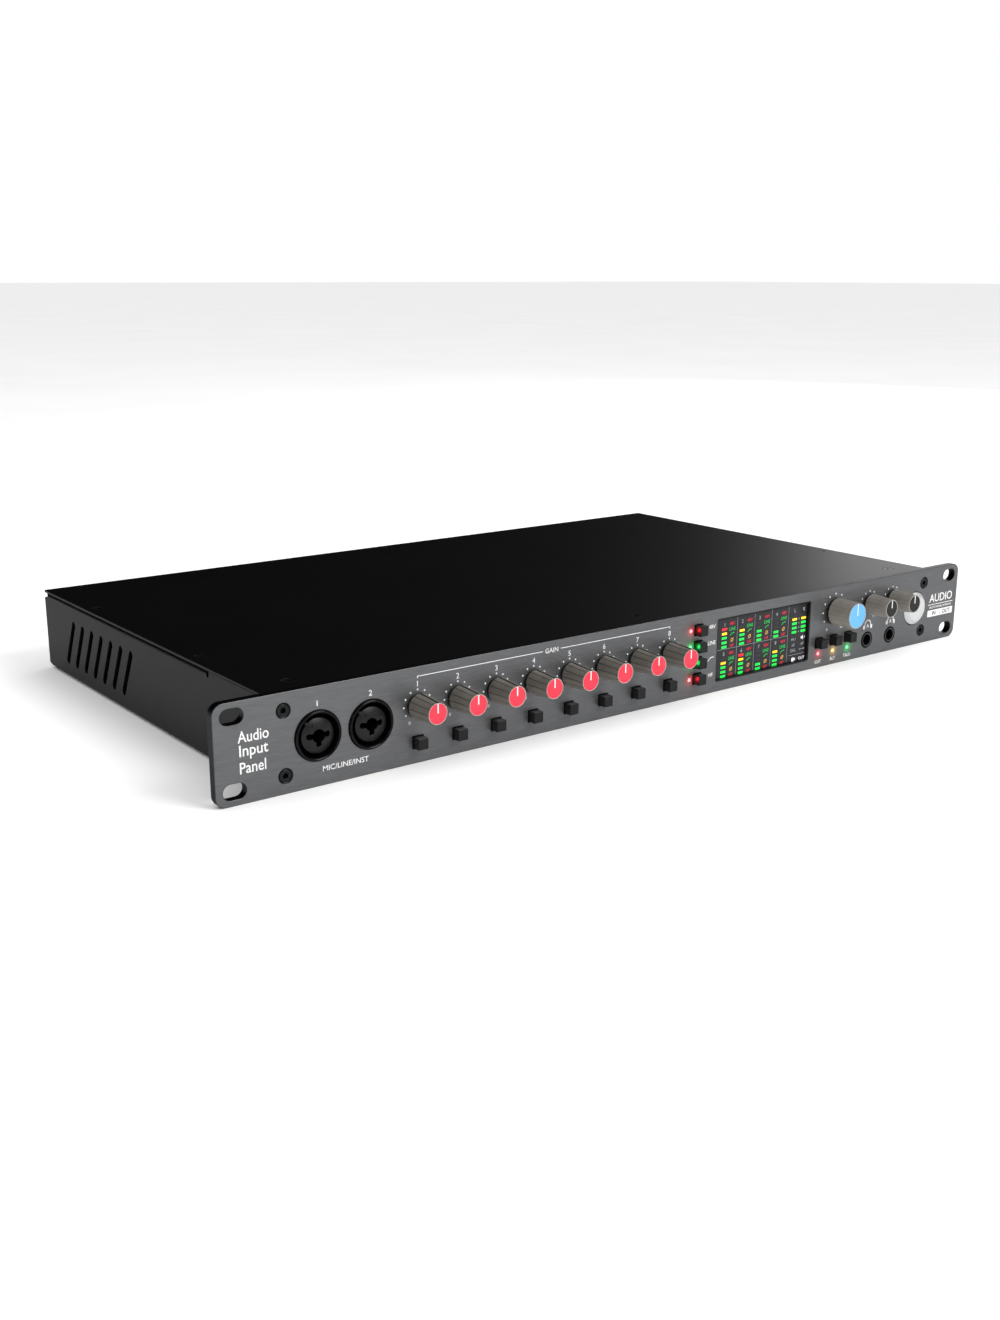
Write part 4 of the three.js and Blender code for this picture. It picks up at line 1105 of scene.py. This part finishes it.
# ------------------------------------------------------------------------------------ case

SHEET = 1.2
case_lo, case_hi = extent("chassis_base")
cover_lo, cover_hi = extent("top_cover")
CASE_HALF = case_hi.x
CASE_BACK = cover_hi.y
BEND = 1.9  # outer radius of a fold
FLANGE = (56, 248.2)  # where the flanges that carry the cover begin and end in y
VENTS, VENT_PITCH, LAST_VENT_Y = 7, 12.25, 217.7
VENT_LEAN, VENT_LOW, VENT_HIGH, VENT_RADIUS = 5.7, -11.9, 9.1, 2.0
COVER_SCREWS = ([(x, 17) for x in (-197.3, 0, 197.3)]
                + [(side * 209.3, y) for y in (75, 193) for side in (-1, 1)]
                + [(x, 245.5) for x in (-197.3, 0, 197.3)])


WALL_OPENINGS = ((-68.5, -2.7, 167, 29.5), (25.8, 0, 14.6, 35), (76.2, -0.15, 73.8, 35.3),
                 (133.5, -0.2, 35, 34.5), (171.5, 8.5, 35, 13))  # x, z, width and height


def fold_section():
    """Section of the folded sheet in x and z: side, floor and side, with round folds."""
    outer, inner = [], []
    low = case_lo.z
    top = case_hi.z
    for side, first in ((-1, 180), (1, 270)):
        cx, cz = side * (CASE_HALF - BEND), low + BEND
        for i in range(9):
            t = math.radians(first + 90 * i / 8)
            outer.append(polar(cx, cz, BEND, t))
            inner.append(polar(cx, cz, BEND - SHEET, t))
    left, right = -CASE_HALF, CASE_HALF
    path = [(left, top), *outer, (right, top), (right - SHEET, top)]
    return path + inner[::-1] + [(left + SHEET, top)]


def side_prism(outline, x0, x1):
    """Closed solid of a (y, z) outline between two x."""
    bm = bmesh.new()
    near = [bm.verts.new((x0, y, z)) for y, z in outline]
    far = [bm.verts.new((x1, y, z)) for y, z in outline]
    bm.faces.new(near[::-1])
    bm.faces.new(far)
    bridge(bm, near, far)
    return bm


def chassis():
    """Folded sheet with leaning vents, flanges for the cover, and a front wall with cut-outs."""
    top = case_hi.z
    front = case_lo.y
    body = solid(fold_section(), front, CASE_BACK)
    cutters = []
    wide = CASE_HALF + 5
    for i in range(VENTS):
        y = LAST_VENT_Y - VENT_PITCH * i
        slot_shape = stadium((y + VENT_LEAN, VENT_LOW), (y - VENT_LEAN, VENT_HIGH), VENT_RADIUS, 10)
        cutters.append(side_prism(slot_shape, -wide, -CASE_HALF + 4))
        cutters.append(side_prism(slot_shape, CASE_HALF - 4, wide))
    shoulder = [(FLANGE[0], top - BEND), (FLANGE[0], top + 2), (FLANGE[1], top + 2), (FLANGE[1], top - BEND)]
    relief = [(53.6, top + 2), (53.6, top - 2.0), (54.2, top - 2.8), (55.4, top - 2.8),
              (FLANGE[0], top - 2.0), (FLANGE[0], top + 2)]
    corner = [(CASE_BACK + y, case_lo.z + z) for y, z in ((-4, -2), (-4, 0.3), (-0.5, 2.2), (2, 2.2), (2, -2))]
    rear_relief = [(FLANGE[1], top + 2), (FLANGE[1], top - 2.6), (CASE_BACK + 2, top - 2.6),
                   (CASE_BACK + 2, top + 2)]
    bm = carved(body, cutters)
    for outline in (shoulder, relief, corner, rear_relief):
        bm = carved(bm, [side_prism(outline, -wide, wide)])
    flange = top
    for side in (-1, 1):
        cx = side * (CASE_HALF - BEND)

        def bend(radius, angles):
            turns = [math.radians(a) for a in angles]
            return [(cx + side * radius * math.cos(t), flange - BEND + radius * math.sin(t)) for t in turns]

        outer = bend(BEND, range(0, 91, 11)) + [(side * (CASE_HALF - 14), flange)]
        inner = [(side * (CASE_HALF - 14), flange - SHEET)] + bend(BEND - SHEET, range(88, -1, -11))
        add_mesh(bm, solid(outer + inner, *FLANGE))
    walls = plate(rectangle(0, (case_lo.z + top) / 2, 2 * (CASE_HALF - SHEET), top - case_lo.z - 2 * SHEET),
                  [circle(*middle(n), 11.6, 40) for n in FRONT_COMBOS]
                  + [rectangle(*opening) for opening in WALL_OPENINGS]
                  + [circle(*middle(n), 5.0, 24) for n in PHONES]
                  + [circle(POWER_X, POWER_Z, 10.7, 40)]
                  + [circle(*middle(n), 1.7, 12) for n in SCREWS], SHEET, 0.05)
    walls.transform(Matrix.Translation((0, front, 0)))
    add_mesh(bm, walls)
    lip = bmesh.new()
    block(lip, (-205, front, top - SHEET), (205, 25, top), 0.1)
    add_mesh(bm, lip)
    closed_piece("chassis_fold", bm, [COAT], CASE, "case_steel", ["chassis_base"])


def top_cover():
    """Flat sheet with holes for its screws, and the screws' heads."""
    holes = [circle(x, y, 3.15, 32) for x, y in COVER_SCREWS]
    outline = rectangle(0, (cover_lo.y + cover_hi.y) / 2, 2 * cover_hi.x, cover_hi.y - cover_lo.y, 0.6, 4)
    bm = plate(outline, holes, cover_hi.z - cover_lo.z, 0.12)
    laid_flat = Matrix(((1, 0, 0, 0), (0, 0, 1, 0), (0, 1, 0, 0), (0, 0, 0, 1)))
    bm.transform(Matrix.Translation((0, 0, cover_lo.z)) @ laid_flat)
    closed_piece("top_cover_sheet", bm, [COAT], CASE, "case_steel", ["top_cover"])
    bm = bmesh.new()
    upright = Matrix.Rotation(-math.pi / 2, 4, "X")
    for x, y in COVER_SCREWS:
        head = bmesh.new()
        profile = [(0.9, 1.0), (0.95, 0.12), (1.1, 0.06), (2.75, 0.0), (2.98, 0.12), (2.98, 0.3), (1.4, 1.3),
                   (0, 1.3)]
        # the head's socket is painted shade
        spin(head, profile, 0, 0, 32, [1, 1, 0, 0, 0, 0, 0])
        spin(head, [(0, 1.0), (0.9, 1.0)], 0, 0, 32, [1])
        add_mesh(bm, head, Matrix.Translation((x, y, cover_hi.z - 0.06)) @ upright)
    closed_piece("cover_screws", bm, [SCREW, BORE_PAINTED_SHADE], CASE, "screw_black")


# ------------------------------------------------------------------------------------ rear

REAR_FACE = extent("rear_panel")[1].y
OUTPUTS = [(-38 + 16 * i, side * 8.8) for i in range(5) for side in (1, -1)]
OPTICAL = [(x, side * 8.0) for x in (52, 66) for side in (1, -1)]
CLOCKS = (84, 100)
MIDI = (120, 140.5)
USB_X = 160
INLET_X = 190


def rear_panel():
    """Folded sheet with a hole for each rear socket."""
    lo, hi = extent("rear_panel")
    holes = [circle(*middle(n), COMBO_HOLE, 72) for n in REAR_COMBOS]
    holes += [circle(x, z, PHONES_HOLE, 40) for x, z in OUTPUTS]
    holes += [rectangle(x, z, 10.7, 11.3, 0.4, 3) for x, z in OPTICAL]
    holes += [circle(x, 0, 6.1, 40) for x in CLOCKS]
    holes += [circle(x, 0, 7.75, 48) for x in MIDI]
    holes.append(rectangle(USB_X, 0, 9.6, 3.8, 1.4, 5))
    holes.append(rectangle(INLET_X, 0, 27.4, 20, 1.0, 4))
    cx, cz = (lo.x + hi.x) / 2, (lo.z + hi.z) / 2
    bm = plate(rectangle(cx, cz, hi.x - lo.x, hi.z - lo.z, 0.3, 2), holes, SHEET, 0.1)
    bm.transform(Matrix.Translation((0, REAR_FACE - SHEET, 0)))
    for low, high, deep in ((hi.z - SHEET, hi.z, 13.2), (lo.z, lo.z + SHEET, 12)):
        lip = bmesh.new()
        reach = 200 if low > 0 else hi.x
        block(lip, (-reach, REAR_FACE - deep, low), (reach, REAR_FACE - SHEET + 0.1, high), 0.1)
        add_mesh(bm, lip)
    closed_piece("rear_panel_sheet", bm, [COAT], CASE, "case_steel", ["rear_panel"])


def rear_print():
    """White legends of the rear panel."""
    bm = bmesh.new()
    y = REAR_FACE + 0.05

    def label(text, x, z, height=2.0):
        letters(bm, text, x, z, height, y, turned=True, bold=0.02)

    for number, name in enumerate(REAR_COMBOS, 3):
        label(str(number), middle(name)[0], 15.2, 2.2)
        label("MIC/LINE", middle(name)[0], -14.8, 1.7)
    for index, (x, z) in enumerate(OUTPUTS):
        label(str(index + 1), x, z + (6.6 if z > 0 else -6.6), 1.7)
    label("LINE OUTPUTS", -6, 0, 1.7)
    for (x, z), word in zip(OPTICAL, ("OUT", "IN", "OUT", "IN")):
        label(word, x, z + (7.4 if z > 0 else -7.4), 1.5)
    label("OPTICAL", 59, 0, 1.5)
    for x, word in zip(CLOCKS, ("CLOCK OUT", "CLOCK IN")):
        label(word, x, -9.5, 1.5)
    for x, word in zip(MIDI, ("MIDI OUT", "MIDI IN")):
        label(word, x, -11.5, 1.6)
    label("USB", USB_X, -5.4, 1.6)
    label("100-240 V", INLET_X, -14.6, 1.6)
    for x in (-210.5, 43.5, 75, 110.5, 151, 169):
        bar(bm, x - 0.1, x + 0.1, -13, 13, y, turned=True)
    piece("rear_print", thickened(bm, -0.04), [PRINT], CASE, "case_steel")


def rear_block(bm, lo, hi):
    """Body of a rear socket, up to the inside of the rear panel."""
    block(bm, lo, (hi.x, REAR_FACE - SHEET - 0.2, hi.z), 0.4, 1)


def output_jacks():
    """Ten jacks, each with a notched ring nut round a metal bush."""
    lo, hi = extent("output_jack_bank")
    bm = bmesh.new()
    face = REAR_FACE + 0.1
    for x, z in OUTPUTS:
        profile = [(3.2, face - 20), (3.2, face + 2.2), (3.5, face + 2.55), (4.3, face + 2.55),
                   (4.5, face + 2.3), (4.5, face + 1.7), (6.0, face + 1.7), (6.3, face + 1.4),
                   (6.3, face + 0.15), (4.55, face)]
        # the bore and its floor are painted shade
        spin(bm, profile, x, z, 48, [2, 3, 3, 3, 3, 0, 0, 0, 0])
        spin(bm, [(0, face - 20), (3.2, face - 20)], x, z, 24, [2])
        for i in range(6):
            t = math.radians(60 * i)
            notch = bmesh.new()
            block(notch, (-0.45, face + 1.45, 4.8), (0.45, face + 1.85, 6.2), 0.1)
            add_mesh(bm, notch, Matrix.Translation((x, 0, z)) @ Matrix.Rotation(t, 4, "Y"), 0)
    rear_block(bm, lo, hi)
    tones = [SOCKET, INSERT, BORE_PAINTED_SHADE, NICKEL]
    closed_piece("output_jack_nuts", bm, tones, CASE, "socket_black", ["output_jack_bank"])


def optical_ports():
    """Square mouths with a hinged dust shutter behind each."""
    lo, hi = extent("optical_ports")
    bm = bmesh.new()
    rear_block(bm, lo, hi)
    for x, z in OPTICAL:
        outline = rectangle(x, z, 10.4, 11.0, 0.5, 4)
        mouth = rectangle(x, z, 6.0, 6.0, 0.8, 4)
        rim = plate(outline, [mouth], 1.9, 0.15)
        add_mesh(bm, rim, Matrix.Translation((0, REAR_FACE - 1.5, 0)), 0)
        # the shutter behind the mouth is near-black: its own black, darkened as painted shade
        block(bm, (x - 3.1, REAR_FACE - 1.9, z - 3.1), (x + 3.1, REAR_FACE - 1.5, z + 3.1), 0.1, 2)
        block(bm, (x - 2.7, REAR_FACE - 1.6, z - 0.2), (x + 2.7, REAR_FACE - 1.2, z + 0.2), 0.1, 0)
        block(bm, (x - 2.7, REAR_FACE - 1.6, z + 2.1), (x + 2.7, REAR_FACE - 1.0, z + 2.7), 0.15, 0)
    closed_piece("optical_port_faces", bm, [SOCKET, INSERT, BORE_PAINTED_SHADE], CASE, "socket_black", ["optical_ports"])


def clock_sockets():
    """Bayonet sockets: hexagon nut, threaded barrel with two lugs, and a centre contact."""
    lo, hi = extent("clock_sockets")
    bm = bmesh.new()
    rear_block(bm, lo, hi)
    for x in CLOCKS:
        prism(bm, hexagon(x, 0, 5.9), REAR_FACE - 0.4, REAR_FACE + 1.0)
        tip = hi.y
        spin(bm, [(5.0, REAR_FACE + 1.0), (5.0, REAR_FACE + 1.6), (4.3, REAR_FACE + 1.9)], x, 0, 48)
        thread = [(4.35 if i % 2 else 4.7, REAR_FACE + 1.9 + 0.3 * i) for i in range(9)]
        barrel = thread + [(4.75, REAR_FACE + 5.0), (4.8, tip - 0.4), (4.55, tip), (3.95, tip),
                           (3.85, tip - 0.3), (3.85, REAR_FACE + 0.6)]
        spin(bm, barrel, x, 0, 48)
        spin(bm, [(3.85, REAR_FACE + 0.6), (0, REAR_FACE + 0.6)], x, 0, 48, [1])
        spin(bm, [(2.3, REAR_FACE + 0.6), (2.3, tip - 3.5), (0.9, tip - 3.4)], x, 0, 32, [4, 4])
        spin(bm, [(0.9, tip - 3.4), (0.9, tip - 2.5), (0.45, tip - 2.3), (0, tip - 2.6)], x, 0, 24, [3, 3, 3])
        for side in (-1, 1):
            lug = bmesh.new()
            spin(lug, [(0.95, 0), (0.95, 0.8), (0.8, 0.95), (0, 0.95)], 0, 0, 20)
            turn = Matrix.Rotation(side * math.pi / 2, 4, "X")
            add_mesh(bm, lug, Matrix.Translation((x, tip - 4.2, side * 4.7)) @ turn, 0)
    tones = [NICKEL, INSERT, BORE_PAINTED_SHADE, BRASS, POINTER]
    closed_piece("clock_socket_barrels", bm, tones, CASE, "plain_metal", ["clock_sockets"])


def midi_sockets():
    """Round sockets with a ring groove, five contacts and a key."""
    lo, hi = extent("midi_sockets")
    bm = bmesh.new()
    rear_block(bm, lo, hi)
    for x in MIDI:
        face = REAR_FACE + 0.6
        spin(bm, rounded([(5.6, face - 8), (5.6, face - 0.4), (0, face - 0.4)], 0.3), x, 0, 64)
        spin(bm, rounded([(7.6, face - 6), (7.6, face), (6.7, face), (6.7, face - 8)], 0.25), x, 0, 64)
        spin(bm, [(6.7, face - 8), (5.6, face - 8)], x, 0, 64, [3])
        for angle in (-90, -45, 0, 45, 90):
            t = math.radians(angle + 90)
            contact = [(0.75, face - 0.38), (0.75, face - 0.36), (0.0, face - 0.36)]
            # the contact holes are flat near-black discs: painted shade
            spin(bm, contact, *polar(x, 0, 3.5, t), 16, [2, 2])
        block(bm, (x - 0.9, face - 1.2, -6.2), (x + 0.9, face - 0.1, -5.0), 0.15)
    tones = [SOCKET, INSERT, BORE_PAINTED_SHADE, NICKEL]
    closed_piece("midi_socket_faces", bm, tones, CASE, "socket_black", ["midi_sockets"])


def usb_socket():
    """Flat-oval metal shell with a tongue and its contacts."""
    lo, hi = extent("usb_socket")
    outer, inner = rectangle(USB_X, 0, 9.2, 3.4, 1.55, 8), rectangle(USB_X, 0, 8.4, 2.6, 1.2, 8)
    bm = plate(outer, [inner], hi.y - lo.y, 0.1)
    bm.transform(Matrix.Translation((0, lo.y, 0)))
    block(bm, (USB_X - 4.1, lo.y + 0.1, -1.2), (USB_X + 4.1, lo.y + 4.0, 1.2), 0.1, 1)
    block(bm, (USB_X - 3.3, lo.y + 3.0, -0.36), (USB_X + 3.3, hi.y - 1.1, 0.36), 0.12, 1)
    for side in (-1, 1):
        for i in range(6):
            px = USB_X - 2.5 + i
            low, high = sorted((0.37 * side, 0.37 * side + 0.03 * side))
            block(bm, (px - 0.16, lo.y + 5, low), (px + 0.16, hi.y - 1.6, high), 0, 2)
    closed_piece("usb_socket_shell", bm, [NICKEL, SOCKET, BRASS], CASE, "plain_metal", ["usb_socket"])


def mains_inlet():
    """Three-pin inlet with its chamfered recess, in its flange."""
    lo, hi = extent("mains_inlet")
    face = hi.y
    recess = [(-12.2, -7.9), (12.2, -7.9), (12.2, 4.3), (8.7, 7.9), (-8.7, 7.9), (-12.2, 4.3)]
    outline = [(INLET_X + x, z) for x, z in recess]
    bm = plate(rectangle(INLET_X, 0, 31, 23.6, 1.6, 6), [outline[::-1]], 2.0, 0.25)
    bm.transform(Matrix.Translation((0, face - 2.0, 0)))
    sleeve = plate(rectangle(INLET_X, 0, 27, 19.6, 0.8, 4), [outline[::-1]], face - 1.9 - lo.y, 0.1)
    add_mesh(bm, sleeve, Matrix.Translation((0, lo.y, 0)), 0)
    # the inlet's body behind the recess is near-black: painted shade
    block(bm, (INLET_X - 12.4, lo.y + 0.5, -8.1), (INLET_X + 12.4, REAR_FACE - 15.5, 8.1), 0.2, 1)
    for x, z in ((-7, -2), (7, -2), (0, 2.5)):
        block(bm, (INLET_X + x - 1, REAR_FACE - 16, z - 2), (INLET_X + x + 1, REAR_FACE - 2, z + 2), 0.45, 2)
    closed_piece("mains_inlet_shell", bm, [SOCKET, BORE_PAINTED_SHADE, NICKEL], CASE, "socket_black", ["mains_inlet"])


# ------------------------------------------------------------------------------------ CAD nodes that stay

INNER = {
    "display_module": MODULE,
    "power_switch": MODULE,
    "front_board": BOARD,
    "main_board": BOARD,
    "power_supply": BOARD,
    "ribbon_cable": CABLE,
}


def dress_inner_nodes():
    for name, material in INNER.items():
        mesh = nodes[name].data
        mesh.materials.clear()
        mesh.materials.append(material)


# ------------------------------------------------------------------------------------ stage, light, camera


def stage():
    """A pale floor, which looks darker in reflections so that the case keeps its black."""
    n = Nodes("floor_paper")
    cloud = n.noise(n.scaled((0.003, 0.003, 0.003)), 1.0)
    n.link(n.mixed(n.ranged(cloud, 0, 1), (0.93, 0.93, 0.933, 1), (0.96, 0.96, 0.96, 1)), "Base Color")
    n.shader.inputs["Roughness"].default_value = 0.9
    n.shader.inputs["Specular IOR Level"].default_value = 0.1
    ray = n.add("ShaderNodeLightPath").outputs["Is Glossy Ray"]
    grey = n.add("ShaderNodeBsdfDiffuse", {"Color": (0.42, 0.42, 0.42, 1)}).outputs[0]
    both = n.add("ShaderNodeMixShader", {0: ray, 1: n.shader.outputs[0], 2: grey}).outputs[0]
    n.tree.links.new(both, n.tree.nodes["Material Output"].inputs["Surface"])
    mesh = bpy.data.meshes.new("floor")
    bm = bmesh.new()
    bmesh.ops.create_grid(bm, x_segments=1, y_segments=1, size=30)
    bm.to_mesh(mesh)
    bm.free()
    mesh.materials.append(n.material)
    floor = placed("floor", mesh)
    floor.location.z = cad_lo.z


FILL, GLOSS_FILL = 0.3, 0.006  # brightness of the room for matt and for glossy surfaces


def world():
    """White to the camera, a soft fill for matt surfaces, and dark where gloss looks for a reflection."""
    sky = bpy.data.worlds.new("studio")
    bpy.context.scene.world = sky
    sky.cycles.sampling_method = "NONE"
    sky.use_nodes = True
    tree = sky.node_tree
    tree.nodes.clear()
    path = tree.nodes.new("ShaderNodeLightPath")
    out = tree.nodes.new("ShaderNodeOutputWorld")

    def background(strength):
        node = tree.nodes.new("ShaderNodeBackground")
        node.inputs["Color"].default_value = (1, 1, 1, 1)
        node.inputs["Strength"].default_value = strength
        return node.outputs[0]

    def chosen(ray, other, own):
        node = tree.nodes.new("ShaderNodeMixShader")
        for index, socket in enumerate((path.outputs[ray], other, own)):
            tree.links.new(socket, node.inputs[index])
        return node.outputs[0]

    lit = chosen("Is Glossy Ray", background(FILL), background(GLOSS_FILL))
    tree.links.new(chosen("Is Camera Ray", lit, background(1.0)), out.inputs["Surface"])


def area(name, location, target, size, power):
    """A rectangular lamp that looks at the target. Places and sizes are in metres, power in watts."""
    data = bpy.data.lights.new(name, "AREA")
    data.shape = "RECTANGLE"
    data.size, data.size_y = size
    data.energy = power
    obj = placed(name, data)
    obj.location = location
    obj.rotation_mode = "QUATERNION"
    obj.rotation_quaternion = (Vector(target) - Vector(location)).to_track_quat("-Z", "Y")


def only_lights(lamp, names):
    """Keeps a lamp's light on the named objects."""
    reached = bpy.data.collections.new(f"{lamp.name}_reach")
    for name in names:
        reached.objects.link(bpy.data.objects[name])
    lamp.light_linking.receiver_collection = reached


def lights():
    """A key, a fill and a rim for the object, and an even light that only reaches the floor."""
    area("key_right_front", (0.8, -1.8, 1.5), (0, 0, 0.02), (1.3, 1.1), 37)
    area("front_left_soft", (-1.5, -1.6, 0.8), (0, 0, 0.02), (1.2, 0.9), 3.8)
    area("right_rim", (1.9, 0.65, 0.5), (0.1, 0, 0.02), (1.2, 0.7), 5.8)
    data = bpy.data.lights.new("ceiling", "SUN")
    data.energy, data.angle = 2.0, math.radians(110)
    only_lights(placed("ceiling", data), ["floor"])


def glow(name, place, power, radius, tint, reached):
    """A small light that only reaches one named piece."""
    data = bpy.data.lights.new(name, "POINT")
    data.energy = power
    data.shadow_soft_size = radius
    data.color = tint
    obj = placed(name, data)
    obj.location = TO_FRAME @ Vector(place)
    only_lights(obj, [reached])
    return obj


HALO_POWER, MIRROR_POWER = 0.0034, 0.0014  # in watts


def led_glows():
    """Halo of each lamp on the panel, and the reflection of four of them in the buttons beside them."""
    red, green, amber = (1, 0.005, 0.02), (0.01, 1, 0.12), (1, 0.55, 0.12)
    tints = [red, green, green, red, red, amber, green]
    for index, ((x, z), tint) in enumerate(zip(LED_PLACES, tints), 1):
        halo = glow(f"led_halo_{index}", (x, -0.75, z), HALO_POWER, 0.0004, tint, "front_panel_plate")
        halo.visible_glossy = False
        if index <= len(FUNCTIONS):
            cap = f"{FUNCTIONS[index - 1]}_cap"
            glow(f"led_mirror_{index}", (x + 0.3, -0.9, z), MIRROR_POWER, 0.0011, tint, cap)


LENS = 38.857
CAMERA_PLACE = (-474.234, -495.814, 186.339)
CAMERA_TURN = (-37.148, 15.1735, 0.1263)  # azimuth, elevation and roll


def camera():
    """Seen from the left and a little above, from about 0.7 m from the panel's middle."""
    data = bpy.data.cameras.new("camera")
    data.sensor_width = 36
    data.lens = LENS
    data.clip_start, data.clip_end = 0.01, 100
    azimuth, elevation, roll = (math.radians(a) for a in CAMERA_TURN)
    back = Vector((math.sin(azimuth) * math.cos(elevation), -math.cos(azimuth) * math.cos(elevation),
                   math.sin(elevation)))
    right = Vector((0, 0, 1)).cross(back).normalized()
    up = back.cross(right)
    c, s = math.cos(roll), math.sin(roll)
    rolled_right, rolled_up = right * c + up * s, up * c - right * s
    turn = Matrix((rolled_right, rolled_up, back)).transposed().to_4x4()
    place = TO_FRAME @ Vector(CAMERA_PLACE)
    obj = placed("camera", data)
    obj.matrix_world = Matrix.Translation(place) @ turn
    bpy.context.scene.camera = obj
    bpy.context.scene.view_settings.view_transform = "Standard"
    bpy.context.scene.view_settings.look = "None"


# ------------------------------------------------------------------------------------ assembly

camera()
stage()
world()
lights()
front_panel()
display_bezel()
panel_screws()
panel_print()
knobs()
for button_name in BUTTONS:
    push_button(button_name)
power_button()
light_guides()
combo_jacks()
phones_jacks()
display()
chassis()
top_cover()
rear_panel()
rear_print()
output_jacks()
optical_ports()
clock_sockets()
midi_sockets()
usb_socket()
mains_inlet()
dress_inner_nodes()
led_glows()
